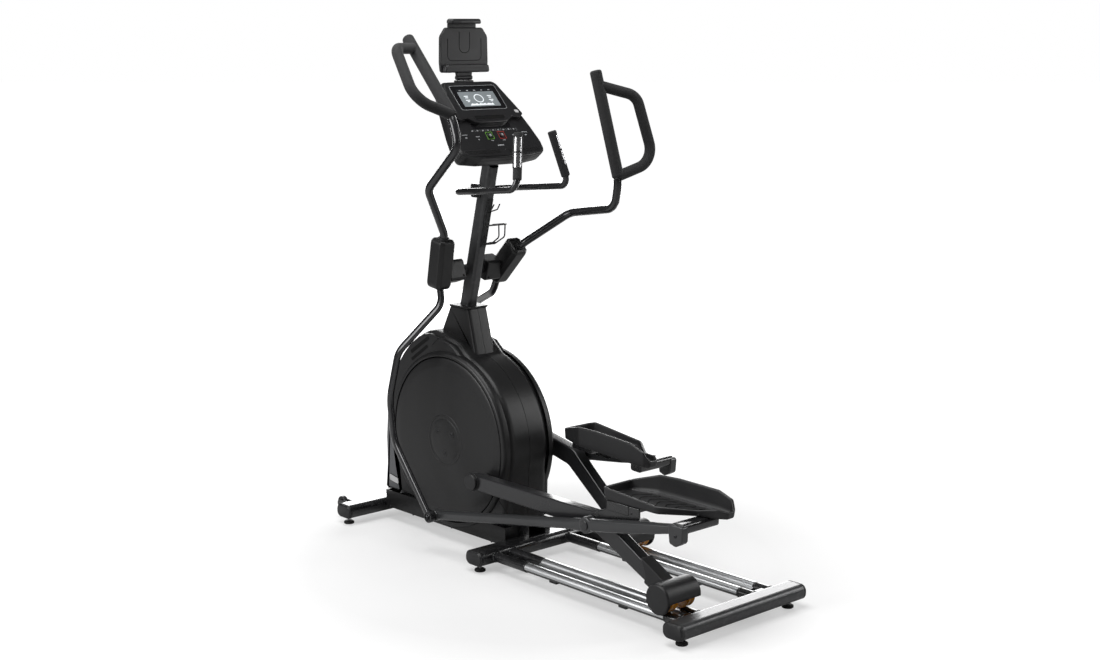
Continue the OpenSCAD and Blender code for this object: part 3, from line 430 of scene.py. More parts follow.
SOFTENED = {
    "front_panel": 0.0020, "base_cover": 0.0030, "stabilizer_caps": 0.0030, "base_frame": 0.0015,
}
for name, width in SOFTENED.items():
    soften(name, width)
print("softened nodes:", len(SOFTENED))

# %% [markdown]
# ## Builders for the small parts
# Nearly every small part on the machine is one of three shapes: turned on a lathe, cut from a
# plate, or drawn as a tube or wire. One short builder for each keeps the rest of the notebook
# about the machine. Each part is set in place by a matrix: the frame of the arm, link, handlebar
# or console that carries it.

# %% Piece maker
def piece(name, verts, faces, material, body, slot=None, place=None, bevel=0.0, angle=35,
          smooth=True):
    """A mesh piece that rides on a body, with its vertices in the machine's frame."""
    bm = bmesh.new()
    points = [bm.verts.new(place @ Vector(v) if place else v) for v in verts]
    for f in faces:
        if len(set(f)) > 2:
            try:
                bm.faces.new([points[i] for i in f])
            except ValueError:
                pass
    bmesh.ops.remove_doubles(bm, verts=bm.verts, dist=1e-6)
    bmesh.ops.recalc_face_normals(bm, faces=bm.faces)
    mesh = bpy.data.meshes.new(name)
    bm.to_mesh(mesh)
    bm.free()
    mesh.materials.append(material)
    if smooth:
        mesh.shade_smooth()
        mesh.set_sharp_from_angle(angle=math.radians(angle))
    o = bpy.data.objects.new(name, mesh)
    bpy.context.scene.collection.objects.link(o)
    if smooth and not bevel:
        # wide faces stay flat, rolled edges blend
        flat = o.modifiers.new("flat_faces", "WEIGHTED_NORMAL")
        flat.keep_sharp = True
    if bevel:
        b = o.modifiers.new("round", "BEVEL")
        b.limit_method = "ANGLE"
        b.angle_limit = math.radians(angle)
        b.width = bevel
        b.segments = 2
        b.harden_normals = True
    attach(o, body)
    return o


def joined(name, parts, material, body, **more):
    """Several (verts, faces) shapes as one piece."""
    verts, faces = [], []
    for v, f in parts:
        faces += [[i + len(verts) for i in face] for face in f]
        verts += v
    return piece(name, verts, faces, material, body, **more)


# %% Lathe, plate, tube and ring
def lifted(p, h, plane):
    """A point of an outline, raised along the plane's third axis."""
    return {"XZ": (p[0], h, p[1]), "XY": (p[0], p[1], h), "YZ": (h, p[0], p[1])}[plane]


def skin_faces(rings, n, closed=False):
    """The faces between rings of n points each; closed joins the last ring to the first."""
    return [[i * n + k, i * n + (k + 1) % n, (i + 1) % rings * n + (k + 1) % n,
             (i + 1) % rings * n + k] for i in range(rings if closed else rings - 1)
            for k in range(n)]


def end_faces(rings, n):
    """The first and the last ring as faces."""
    return [list(range(n)), list(range((rings - 1) * n, rings * n))]


def lathe(profile, sides=40, at=(0, 0, 0), axis="Y"):
    """(verts, faces) of a (radius, height) profile turned about an axis through a point."""
    verts, faces, n = [], [], len(profile)
    for k in range(sides):
        a = 2 * math.pi * k / sides
        for r, h in profile:
            p = (r * math.cos(a), h, r * math.sin(a)) if axis == "Y" else ((r * math.cos(a),
                    r * math.sin(a), h) if axis == "Z" else (h, r * math.cos(a), r * math.sin(a)))
            verts.append(tuple(p[i] + at[i] for i in range(3)))
    for k in range(sides):
        for j in range(n - 1):
            q = (k + 1) % sides
            faces.append([k * n + j, q * n + j, q * n + j + 1, k * n + j + 1])
    return verts, faces


def plate(outline, low, high, plane="XZ"):
    """(verts, faces) of a closed outline given thickness along the plane's third axis."""
    n = len(outline)
    verts = [lifted(p, h, plane) for h in (low, high) for p in outline]
    return verts, end_faces(2, n) + skin_faces(2, n)


def frame_plate(outer, inner, low, high, plane="XY"):
    """(verts, faces) of a band between two outlines with the same number of points."""
    rings = ((outer, low), (outer, high), (inner, high), (inner, low))
    verts = [lifted(p, h, plane) for line, h in rings for p in line]
    return verts, skin_faces(len(rings), len(outer), True)


def rounded(corners, radius, steps=5):
    """A closed outline with its corners rounded: radius is one number, or one for each corner."""
    out, n = [], len(corners)
    for i in range(n):
        r = radius[i] if isinstance(radius, (list, tuple)) else radius
        b = Vector(corners[i]).to_2d()
        u = (Vector(corners[i - 1]).to_2d() - b).normalized()
        v = (Vector(corners[(i + 1) % n]).to_2d() - b).normalized()
        half = u.angle(v) / 2
        # the line runs straight on through this point
        if math.pi / 2 - half < 0.01:
            out.append(tuple(b))
            continue
        d = min(r / math.tan(half), 1e9)
        o = b + (u + v).normalized() * (r / math.sin(half))
        p, q = b + u * d - o, b + v * d - o
        turn = p.angle_signed(q)
        out += [tuple(o + Matrix.Rotation(-turn * k / steps, 2) @ p) for k in range(steps + 1)]
    return out


def route(points, radii, steps=10):
    """A path through corner points with a round bend at each inner one."""
    pts = [Vector(p) for p in points]
    out = [pts[0]]
    for i in range(1, len(pts) - 1):
        a, b, c, r = pts[i - 1], pts[i], pts[i + 1], radii[i - 1]
        u, v = (a - b).normalized(), (c - b).normalized()
        half = u.angle(v) / 2
        o = b + (u + v).normalized() * (r / math.sin(half))
        p, q = b + u * (r / math.tan(half)) - o, b + v * (r / math.tan(half)) - o
        out += [o + p.slerp(q, k / steps).normalized() * r for k in range(steps + 1)]
    return out + [pts[-1]]


def tube(path, radius, sides=24, normal=(1, 0, 0), across=None, closed=False):
    """(verts, faces) of a bar along a path: radius along the normal, across on the other side."""
    path = [Vector(p) for p in path]
    n, b = len(path), across or radius
    side, verts = Vector(normal), []
    for i, p in enumerate(path):
        ahead = path[(i + 1) % n] if closed or i < n - 1 else p
        behind = path[i - 1] if closed or i > 0 else p
        t = (ahead - behind).normalized()
        side = (side - t * side.dot(t)).normalized()
        other = t.cross(side)
        verts += [tuple(p + side * radius * math.cos(2 * math.pi * k / sides)
                        + other * b * math.sin(2 * math.pi * k / sides)) for k in range(sides)]
    faces = skin_faces(n, sides, closed)
    return verts, faces if closed else faces + end_faces(n, sides)


def moved(shape, place):
    """The shape with its vertices put through a matrix."""
    return [tuple(place @ Vector(v)) for v in shape[0]], shape[1]


def bolt(at, radius, axis="Y", out=1, head=0.45, socket=True):
    """(verts, faces) of a domed screw head that stands on a point and faces out along an axis."""
    r, h = radius, radius * head
    profile = [(0.0, h * 0.35)] if socket else [(0.0, h)]
    profile += [(r * 0.46, h * 0.35), (r * 0.5, h * 0.98)] if socket else []
    profile += [(r * 0.72, h * 0.94), (r * 0.93, h * 0.62), (r, 0.0)]
    return lathe([(a, out * b) for a, b in profile], 24, at, axis)


print("builders ready")

# %% [markdown]
# ## Frames of the moving parts
# The joints in the record say where each arm, link and handlebar turns. From those points come the
# frames in which their small parts are placed, so the same lines serve the left and the right.

# %% Frames
SIDES = {"left": -1, "right": 1}
RAIL_Y = (146, 230)      # how far the two tubes of a rail are from the middle, in mm


def turned(at, degrees):
    """A frame at a point, turned about the Y axis."""
    return Matrix.Translation(at) @ Matrix.Rotation(math.radians(degrees), 4, "Y")


def mirrored(side, place):
    """On the left the part is built on the right and mirrored in the middle plane."""
    flip = Matrix.Diagonal((1, SIDES[side], 1, 1))
    return flip @ place


pivot = Vector(joint["handlebar_swing_left"]["pos_m"])
crank = Vector(joint["crank_spin"]["pos_m"])
SWING, TILT = {"left": -17.1, "right": 17.1}, 50.0      # the handlebars' and the console's slopes
# the link's hinge, from the mast pivot, in a handlebar's frame
HAND_PIN = Vector((-0.192, 0, -0.926))
ARM_LENGTH, ARM_BEND = 1.0615, Vector((-0.3855, 0, 0.115))      # the arm's length, and its bend
CONSOLE_Z = 1.830
roller = {s: Vector(joint["arm_pitch_" + s]["pos_m"]) for s in SIDES}
knee = {s: Vector(joint["link_pivot_" + s]["pos_m"]) for s in SIDES}
swing_frame, arm_frame, link_frame, tray_frame = {}, {}, {}, {}
for s in SIDES:
    swing_frame[s] = mirrored(s, turned((pivot.x, 0, pivot.z), SWING[s]))
    hand_pin = turned((pivot.x, 0, pivot.z), SWING[s]) @ HAND_PIN
    slope = math.degrees(math.atan2(knee[s].z - hand_pin.z, knee[s].x - hand_pin.x))
    link_frame[s] = mirrored(s, turned((knee[s].x, 0, knee[s].z), -slope))
    # the arm's own frame: the straight line from its roller to its crank pin
    here = math.atan2(knee[s].z - roller[s].z, knee[s].x - roller[s].x)
    there = math.atan2(ARM_BEND.z, ARM_BEND.x)
    arm_frame[s] = mirrored(s, turned((roller[s].x, 0, roller[s].z), math.degrees(there - here)))
pin_l = turned((pivot.x, 0, pivot.z), SWING["left"]) @ HAND_PIN
TRAY_TILT = math.degrees(math.atan2(knee["left"].z - pin_l.z, knee["left"].x - pin_l.x))
for s in SIDES:
    tray_frame[s] = link_frame[s] @ Matrix.Rotation(math.radians(TRAY_TILT), 4, "Y")
console_frame = turned((pivot.x - 0.005, 0, CONSOLE_Z), TILT)
print("tray tilt", round(TRAY_TILT, 2))

# %% [markdown]
# ## The housing
# The real housing is two moulded halves that curve over from a flat side to a raised middle band.
# A CAD step there would look like two stacked plates, so each half is lofted instead: the outline
# is pulled in a little more at each step outwards, which gives the soft rolled shoulder. The neck
# round the mast is a second loft with a flat flange on top.

# %% Outline helpers
NEAR_CRANK = Matrix.Translation((crank.x, 0, crank.z)) @ Matrix.Scale(MM, 4)


def pulled_in(outline, inset):
    """The closed outline moved inwards by inset along its corner normals."""
    n, out = len(outline), []
    pts = [Vector(p).to_2d() for p in outline]
    area = sum(pts[i - 1].x * pts[i].y - pts[i].x * pts[i - 1].y for i in range(n))
    turn = 1 if area > 0 else -1
    for i in range(n):
        a, b = (pts[i] - pts[i - 1]).normalized(), (pts[(i + 1) % n] - pts[i]).normalized()
        na, nb = Vector((-a.y, a.x)) * turn, Vector((-b.y, b.x)) * turn
        m = (na + nb).normalized()
        out.append(tuple(pts[i] + m * (inset / max(0.5, m.dot(na)))))
    return out


def loft(outline, steps, plane="XZ"):
    """(verts, faces) of an outline drawn at each (height, inset) step and closed at both ends."""
    n = len(outline)
    verts = [lifted(p, h, plane) for h, inset in steps for p in pulled_in(outline, inset)]
    return verts, skin_faces(len(steps), n) + end_faces(len(steps), n)


rim = [(357 * math.cos(math.radians(a)), 357 * math.sin(math.radians(a)))
       for a in range(74, -15, -3)]
case_line = [(-420, -292), (-425, -60), (-418, 30), (-404, 110), (-380, 190), (-345, 258),
             (-300, 316), (-250, 366), (-196, 402), (-158, 418), (-120, 424), (-40, 410),
             (40, 392)] + rim + [(343, -292)]
neck_line = rounded([(-140, 300), (-122, 420), (-68, 526), (46, 526), (98, 330)], [2, 30, 8, 8, 2],
                    3)
shoulder = [(0.8, 0), (70, 0), (80, 0.8), (87, 3.5), (91.5, 8), (95, 10.5), (106, 11),
            (111.5, 12.2), (115.5, 15.5), (117.4, 20)]
neck_roll = [(0.8, 0), (36, 0), (42, 0.8), (46, 2.8), (48.6, 6), (49.6, 10)]
for s in SIDES:
    place = mirrored(s, NEAR_CRANK)
    shell = joined("housing_" + s, [moved(loft(case_line, shoulder), place),
                                    moved(loft(neck_line, neck_roll), place)],
                   FINISH["case_plastic"], "frame", slot="case_plastic", angle=28)
    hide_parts("side_case_" + s)
print("housing halves lofted")

# %% Air slots, corner seam, screws and mast flange
for s in SIDES:
    place = mirrored(s, NEAR_CRANK)
    slots = []
    for (x0, z0), (x1, z1), wide in (((-236, 322), (-118, 398), 15),
                                     ((-232, 292), (-128, 362), 13)):
        d = Vector((x1 - x0, z1 - z0)).normalized()
        n = Vector((-d.y, d.x)) * wide / 2
        corner = [(x0 - n.x, z0 - n.y), (x1 - n.x, z1 - n.y), (x1 + n.x, z1 + n.y),
                  (x0 + n.x, z0 + n.y)]
        slots.append(moved(plate(rounded(corner, wide * 0.3, 4), 108, 118.0), place))
    joined("air_slots_" + s, slots, GAP_BLACK, "frame", slot="case_plastic", smooth=False)
    # the joint of the lower corner cover
    seam = [tube([(286, 118.0, -172), (356, 118.0, -228)], 0.7, 6)]
    joined("corner_seam_" + s, [moved(x, place) for x in seam], GAP_BLACK, "frame",
           slot="case_plastic")
    screws = [bolt((x, 118.3, z), 5.2, "Y", 1, 0.4)
              for x, z in ((-237, -362), (15, -361), (262, -362), (-392, -362))]
    joined("cover_screws_" + s, [moved(x, place) for x in screws], BOLT_ZINC, "frame", slot="steel")
flange = rounded([(-76, -54), (56, -54), (56, 54), (-76, 54)], 16, 5)
joined("mast_flange",
       [moved(loft(flange, [(524, 2), (526, 0), (530, 0), (532, 1.5)], "XY"), NEAR_CRANK)],
       FINISH["case_plastic"], "frame", slot="case_plastic")

# %% [markdown]
# ## The side discs and hub caps
# Each disc is one shallow turned shape, so it is made as on a lathe: a profile from the hub to
# the rim, spun round the crank. The hub cap sits in a dark ring groove and is held by three
# screws, each in a small scooped pocket.

# %% Discs
disc_profile = [(14, 134.6), (60, 135.4), (150, 135.8), (240, 135.6), (290, 134.8), (302, 133.6),
                (318, 131.6), (327, 130.2), (330, 128.4), (331, 126), (331, 119), (322, 118.6)]
cap_profile = [(0, 138.8), (30, 138.7), (62, 138.0), (80, 136.9), (87, 135.6), (89.5, 133.6),
               (90, 130)]
groove_profile = [(89, 135.2), (91, 133.8), (95.5, 133.8), (98, 136.4), (101, 136.7), (104, 135.4)]
for s in SIDES:
    place = mirrored(s, NEAR_CRANK)
    disc = joined("disc_" + s, [moved(lathe(disc_profile, 128), place)], FINISH["disc_plastic"],
                  "crank", slot="disc_plastic", angle=40)
    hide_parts("crank_disc_" + s)
    cap = joined("hub_cap_" + s, [moved(lathe(cap_profile, 80), place),
                                  moved(lathe(groove_profile, 80), place)], FINISH["disc_plastic"],
                 "crank", slot="disc_plastic", angle=40)
    if s == "right":
        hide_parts("hub_caps")
    pockets, screws = [], []
    for a in (35, 145, 270):
        x, z = 52 * math.cos(math.radians(a)), 52 * math.sin(math.radians(a))
        pockets.append(moved(lathe([(0, 138.95), (8, 138.98), (12.5, 139.4), (15, 139.1),
                                    (16, 138.2)], 32, (x, 0, z)), place))
        screws.append(moved(bolt((x, 138.9, z), 6, "Y", 1, 0.35), place))
    joined("hub_pockets_" + s, pockets, FINISH["disc_plastic"], "crank", slot="disc_plastic")
    joined("hub_screws_" + s, screws, BOLT_ZINC, "crank", slot="steel")
print("discs turned")

# %% [markdown]
# ## Tubes that the hands meet
# The handlebars are bent tube. A tube drawn along a route with true round bends keeps its section
# all the way, which is how a tube bender works too. The foam sleeves are drawn the same way over
# the top, with a rolled lip at each end.

# %% Swinging handlebars
LOWER = route([(0, 160, -8), (-14, 162, -122), (-212, 268, -268), (-300, 288, -440),
               (-325, 288, -610), (-198, 288, -916)], [70, 120, 260, 150], 12)
UPPER = route([(12, 160, 16), (95, 168, 135), (196, 285, 296), (425, 285, 404), (416, 281, 520),
               (212, 247, 872)], [70, 70, 60, 200], 12)
TOP, LOW = Vector((212, 247, 872)), Vector((416, 281, 520))
REACH = (TOP - LOW).normalized()


def foam_ends(path, radius, lip=5, steps=5):
    """The path and radii of a sleeve whose two ends roll over."""
    pts = [Vector(p) for p in path]
    first, last = (pts[1] - pts[0]).normalized(), (pts[-1] - pts[-2]).normalized()
    out = []
    for k in range(steps):
        a = math.pi / 2 * k / steps
        out.append((pts[0] + first * lip * (1 - math.cos(a)), radius - lip + lip * math.sin(a)))
    out += [(p, radius) for p in [pts[0] + first * lip] + pts[1:-1] + [pts[-1] - last * lip]]
    for k in range(steps - 1, -1, -1):
        a = math.pi / 2 * k / steps
        out.append((pts[-1] - last * lip * (1 - math.cos(a)), radius - lip + lip * math.sin(a)))
    return out


def sleeve(stations, sides=36, normal=(0, 1, 0)):
    """(verts, faces) of a round sleeve given as (centre, radius) stations."""
    verts, side, n = [], Vector(normal), len(stations)
    for i, (p, r) in enumerate(stations):
        t = (stations[min(i + 1, n - 1)][0] - stations[max(i - 1, 0)][0]).normalized()
        side = (side - t * side.dot(t)).normalized()
        other = t.cross(side)
        verts += [tuple(p + side * r * math.cos(2 * math.pi * k / sides) + other * r
                        * math.sin(2 * math.pi * k / sides)) for k in range(sides)]
    return verts, skin_faces(n, sides) + end_faces(n, sides)


def straight(a, b, count=8):
    """Evenly spaced points from a to b."""
    return [a + (b - a) * k / count for k in range(count + 1)]


scale = Matrix.Scale(MM, 4)
PIN_AT = (HAND_PIN.x / MM, 0, HAND_PIN.z / MM)
for s in SIDES:
    place, body = swing_frame[s] @ scale, "handlebar_" + s
    upper = joined("upper_tube_" + s, [moved(tube(UPPER, 16, 32, (0, 1, 0)), place)],
                   FINISH["handle_paint"], body, slot="handle_paint", angle=50)
    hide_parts("upper_handle_" + s)
    parts = [tube(LOWER, 17, 28, (1, 0, 0), 12), lathe([(14, 60), (24, 60), (24, 190), (14, 190)],
                                                       40), lathe([(0, 275.5), (18, 275.5),
            (22, 277.5), (23, 281), (23, 295), (22, 298.5), (18, 300), (0, 300)], 40, PIN_AT),
             lathe([(12, 270.5), (12, 276)], 24, PIN_AT)]
    lower = joined("lower_tube_" + s, [moved(p, place) for p in parts], FINISH["handle_paint"],
                   body, slot="handle_paint", angle=40)
    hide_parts("lower_handle_" + s)
    joined("hinge_bolt_" + s, [moved(x, place) for x in (
        lathe([(0, 299), (15, 299), (16, 300.5), (16, 302), (14.5, 303)], 32, PIN_AT),
        bolt((PIN_AT[0], 302.5, PIN_AT[2]), 10, "Y", 1, 0.5))], BOLT_ZINC, body, slot="steel")
    grip_line = straight(LOW + REACH * 6, TOP + REACH * 12, 24)
    loop = route([TOP - REACH * 46, (306, 392, 812), (424, 444, 588), TOP - REACH * 396], [62, 78],
                 16)
    dense = []
    for a, b in zip(loop, loop[1:]):
        dense += straight(a, b, max(1, int((b - a).length / 14)))[:-1]
    grip = joined("foam_grip_" + s, [moved(sleeve(foam_ends(grip_line, 23, 9, 6)), place),
                                     moved(tube(dense + [loop[-1]], 21, 30, tuple(REACH)), place)],
                  FINISH["foam"], body, slot="foam", angle=60)
    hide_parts("grip_" + s)
    # the ring at the foam's lower end
    joined("grip_ring_" + s,
           [moved(sleeve(foam_ends([LOW + REACH * 2, LOW + REACH * 9], 19, 1.5, 3)), place)],
           FINISH["cap_plastic"], body, slot="foam")
print("handlebars bent")

# %% Fixed handlebar, its foam and the pulse plates
BEAM_TOP, PIVOT_Z, BAR_Z = 134, 1094, 1412      # heights of the mast's foot, its pivot and the bar
BAR_R, MAST_HALF, PIVOT_BEHIND = 12.5, 30, 25
mast_lean = math.radians(14)
mast_base = (pivot.x / MM + PIVOT_BEHIND) - (PIVOT_Z - BEAM_TOP) * math.tan(mast_lean)
bar_x = mast_base + (BAR_Z
                     - BEAM_TOP) * math.tan(mast_lean) - MAST_HALF / math.cos(mast_lean) - BAR_R
half = [(bar_x, 0, BAR_Z), (bar_x, 128, BAR_Z), (-14, 131, BAR_Z + 35), (-57, 85, BAR_Z + 233)]
BAR = route([(x, -y, z) for x, y, z in half[:0:-1]] + half[1:], [40, 45, 45, 40], 12)
bar = joined("fixed_bar", [moved(tube(BAR, BAR_R, 32, (1, 0, 0)), scale)], FINISH["handle_paint"],
             "frame", slot="handle_paint", angle=50)
bracket = rounded([(bar_x - 16, BAR_Z - 27), (bar_x + 40, BAR_Z - 27), (bar_x + 40, BAR_Z + 27),
                   (bar_x - 16, BAR_Z + 27)], 10, 4)
clamp = joined("bar_clamp", [moved(plate(bracket, -31, 31), scale)], FINISH["handle_paint"],
               "frame", slot="handle_paint", bevel=0.0025)
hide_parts("fixed_handlebar")


def half_sleeve(a, b, inner, outer, sides=28):
    """(verts, faces) of a bowed metal plate over the outward half of a straight grip."""
    along = (b - a).normalized()
    out = (Vector((0.12, 1, 0)) - along * along.dot(Vector((0.12, 1, 0)))).normalized()
    across = along.cross(out)
    arc_in = [(inner, math.pi * k / sides) for k in range(sides + 1)]
    arc_out = [(outer if 0 < k < sides else outer - 0.8, math.pi * k / sides)
               for k in range(sides + 1)]
    line = arc_out + arc_in[::-1]
    verts = [tuple(p + across * r * math.cos(t) + out * r * math.sin(t))
             for p in (a, b) for r, t in line]
    return verts, end_faces(2, len(line)) + skin_faces(2, len(line))


low, top = Vector(half[2]), Vector(half[3])
rise = (top - low).normalized()
foams, plates = [], []
for s in SIDES:
    place = mirrored(s, scale)
    foams.append(moved(sleeve(foam_ends(straight(low + rise * 36, top + rise * 8, 16), 17, 5, 5)),
                       place))
    for k in (82, 142):
        a, b = low + rise * k, low + rise * (k + 54)
        plates.append(moved(half_sleeve(a, b, 17.6, 18.8), place))
foam = joined("fixed_foam", foams, FINISH["foam"], "frame", slot="foam", angle=60)
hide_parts("fixed_grips")
plates = joined("pulse_sensors", plates, FINISH["chrome"], "frame", slot="chrome", angle=50)
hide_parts("pulse_plates")
print("fixed bar bent")

# %% [markdown]
# ## The foot arms, their crank caps and the rollers
# Each arm is one bent box tube. Its side outline is drawn with round corners and lofted across,
# with the edges rolled in over 6 mm, as on drawn box section. At the back it carries a drum cover
# over two amber rollers, whose treads are hollowed to sit on the rails.

# %% Foot arms
# the arm's centre line in its own frame, as (x, z) in mm
pin_end, roll_end = Vector((-ARM_LENGTH / MM, 0)), Vector((0, 0))
bend_top = Vector((ARM_BEND.x / MM, ARM_BEND.z / MM))
u0, u1 = (bend_top - pin_end).normalized(), (roll_end - bend_top).normalized()
n0, n1 = Vector((-u0.y, u0.x)), Vector((-u1.y, u1.x))
mitre = (n0 + n1).normalized()
arm_line = rounded([pin_end - u0 * 29 + n0 * 29, bend_top + mitre * 37,
                    roll_end + u1 * 25 + n1 * 26, roll_end + u1 * 25 - n1 * 26,
                    bend_top - mitre * 37, pin_end - u0 * 29 - n0 * 29], [27, 110, 24, 24, 60, 27],
                   8)
box_edge = [(166, 6), (167.0, 3), (168.6, 1.3), (172, 0), (206, 0), (209.4, 1.3), (211, 3),
            (212, 6)]
# where the drum cover's edge starts, and how far it goes round
DRUM_OPEN, DRUM_SWEEP = 3.0, 218.0
ROLLER_HIGH = 66.4      # the roller's axle above the middle of the rail tube
GROOVE_R, TREAD_R = 19.6, 51      # the tread's hollow round the rail, and its widest radius
hollow = [(min(TREAD_R, ROLLER_HIGH - math.sqrt(GROOVE_R ** 2 - y * y)), y)
          for y in [k * 1.5 for k in range(-9, 10)]]
for s in SIDES:
    place, body = arm_frame[s] @ scale, "foot_arm_" + s
    knee_boss = [lathe([(0, 212), (20, 212), (20, 231.5), (11, 231.5), (11, 270.5), (18, 270.5),
                        (18, 274), (16.5, 275), (0, 275)], 40, (bend_top.x, 0, bend_top.y))]
    arm = joined("foot_arm_tube_" + s,
                 [moved(x, place) for x in [loft(arm_line, box_edge)] + knee_boss],
                 FINISH["arm_paint"], body, slot="arm_paint", angle=40)
    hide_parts("main_arm_" + s)
    knob = ([(0, 140), (20, 140), (20, 166)],
            [(30, 211), (36, 211), (36, 213.6), (34.5, 215), (31.5, 215.4), (31.5, 217.5),
             (33, 218.5), (33, 223), (31.5, 226), (27.5, 227.4), (20, 227.8), (0, 227.8)])
    cap = joined("crank_cap_" + s, [moved(lathe(p, 56, (pin_end.x, 0, 0)), place) for p in knob],
                 FINISH["cap_plastic"], body, slot="cap_plastic", angle=30)
    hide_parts("crank_pin_" + s)
    # drum cover: a shell open below, a full end disc outside and a cut one inside
    sweep = [math.radians(DRUM_OPEN + DRUM_SWEEP * k / 60) for k in range(61)]
    shell_line = [(55 * math.cos(a), 55 * math.sin(a)) for a in sweep] + \
                 [(52.4 * math.cos(a), 52.4 * math.sin(a)) for a in reversed(sweep)]
    inner_end = [(54.6 * math.cos(a), 54.6 * math.sin(a)) for a in sweep]
    drum = [plate(shell_line, 108, 262),
            lathe([(0, 270), (47, 270), (51, 269), (54, 266.4), (55, 263), (55, 258), (52, 257),
                   (0, 257)], 72),
            loft(inner_end, [(110, 0), (108, 0), (106.6, 1), (106, 3)])]
    drum = joined("roller_drum_" + s, [moved(p, place) for p in drum], FINISH["cap_plastic"], body,
                  slot="cap_plastic", angle=40)
    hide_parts("roller_cover_" + s)
    back_up, side_up = -u1, Vector((-u1.y, u1.x))
    boot = rounded([back_up * 40 + side_up * 33, back_up * 168 + side_up * 37,
                    back_up * 120 - side_up * 6, back_up * 112 - side_up * 35,
                    back_up * 40 - side_up * 32], [4, 3, 40, 6, 4], 6)
    joined("arm_boot_" + s,
           [moved(loft(boot, [(163, 2.5), (163.8, 0.8), (165, 0), (213, 0), (214.2, 0.8),
                              (215, 2.5)]), place)], FINISH["cap_plastic"], body,
           slot="cap_plastic", angle=40)
    tread = [(9, -17), (17, -17), (18, -15), (42, -15), (48, -15)] + hollow + [
        (48, 15), (42, 15), (18, 15), (17, 17), (9, 17)]
    wheels = [moved(lathe(tread, 72, (0, y, 0)), place) for y in RAIL_Y]
    wheels = joined("amber_rollers_" + s, wheels, FINISH["urethane"], "rollers_" + s,
                    slot="urethane", angle=28)
    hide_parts("rollers_" + s)
    bearings = [moved(lathe([(8.2, y + o * 17.6), (16, y + o * 17.6), (16.4, y + o * 16.8)], 32),
                      place) for y in RAIL_Y for o in (-1, 1)]
    joined("roller_bearings_" + s, bearings, FINISH["steel"], "rollers_" + s, slot="steel")
print("arms and rollers built")

# %% [markdown]
# ## The pedal links and the pedals
# A link is a tube that swells towards the pedal. It is drawn as a bar whose half height and half
# width change along its length, with a squarish oval section. The pedal is a moulded tray: its plan
# outline is walked round once, and at each point the same wall section is drawn up to a rim height
# that is low at the heel and high on the inner side. Raised treads on the floor give grip.

# %% A bar whose section changes
def bar_of(stations, sides=32, power=0.62):
    """(verts, faces) of a squarish bar along X: (x, y, z, half width, half height) stations."""
    verts = []
    for x, y, z, hy, hz in stations:
        for k in range(sides):
            a = 2 * math.pi * k / sides
            c, d = math.cos(a), math.sin(a)
            verts.append((x, y + hy * math.copysign(abs(c) ** power, c),
                          z + hz * math.copysign(abs(d) ** power, d)))
    return verts, skin_faces(len(stations), sides) + end_faces(len(stations), sides)


# %% Links
for s in SIDES:
    place, tray, body = link_frame[s] @ scale, tray_frame[s] @ scale, "pedal_link_" + s
    link = bar_of([(-862, 251, 0, 13, 14), (-856, 251, 0, 17, 17), (-700, 251, 0, 18, 18),
                   (-90, 251, 0, 19, 19), (-70, 251, 0, 19, 22), (-40, 251, 0, 19, 23.4),
                   (60, 251, 0, 19, 23.4), (200, 251, 0, 19, 23), (330, 251, 2, 18, 20),
                   (430, 251, 4, 16, 16), (452, 251, 5, 14, 13), (456, 251, 5, 9, 9)])
    knuckle = [lathe([(0, 232), (19, 232), (22, 234), (22, 268), (19, 270), (0, 270)], 40,
                     (-871.3, 0, 0)), lathe([(11.2, 231.6), (27, 231.6), (30, 234), (30, 268),
                                             (27, 270), (11.2, 270)], 48)]
    front = plate(rounded([(72, 66), (182, 66), (182, 102), (72, 102)], 6, 4), 104, 232)
    rear = plate(rounded([(412, 66), (468, 66), (468, 102), (412, 102)], 12, 5), 82, 256)
    hook = plate(rounded([(404, 96), (472, 96), (470, 40), (440, 22), (412, 30)],
                         [6, 10, 14, 14, 10], 5), 238, 269)
    web = plate(rounded([(4, 18), (150, 18), (232, 62), (232, 101), (120, 101), (60, 66), (6, 40)],
                         [6, 10, 10, 6, 10, 14, 8], 4), 222, 230)
    made = joined("pedal_link_tube_" + s, [moved(x, place) for x in [link] + knuckle],
                  FINISH["link_paint"], body, slot="link_paint", angle=40)
    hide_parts("link_arm_" + s)
    joined("pedal_bracket_" + s, [moved(x, tray) for x in (front, rear, web)],
           FINISH["frame_paint"], body, slot="link_paint", bevel=0.003, angle=40)
    joined("pedal_hook_" + s, [moved(hook, tray)], FINISH["link_paint"], body, slot="link_paint",
           bevel=0.003, angle=40)
    screws = [moved(bolt((12 * math.cos(a), 270.4, 12 * math.sin(a)), 3.4, "Y", 1, 0.4), place)
              for a in (1.2, 1.2 + math.pi)]
    screws += [moved(bolt((x, 230.2, 78), 4, "Y", 1, 0.5), tray) for x in (142, 168, 194)]
    screws.append(moved(bolt((440, 268.9, 60), 6, "Y", 1, 0.5), tray))
    joined("link_screws_" + s, screws, BOLT_ZINC, body, slot="steel")

# %% Pedal trays
RIM = [(46, 216, 141), (66, 234, 145), (318, 234, 127), (424, 152, 122), (496, 124, 134),
       (526, 104, 124), (524, 66, 126), (502, 52, 158), (440, 50, 178), (255, 50, 181),
       (160, 50, 176), (46, 82, 142)]
plan = rounded([(x, y) for x, y, z in RIM], [14, 16, 40, 60, 20, 14, 16, 16, 60, 90, 60, 20], 5)


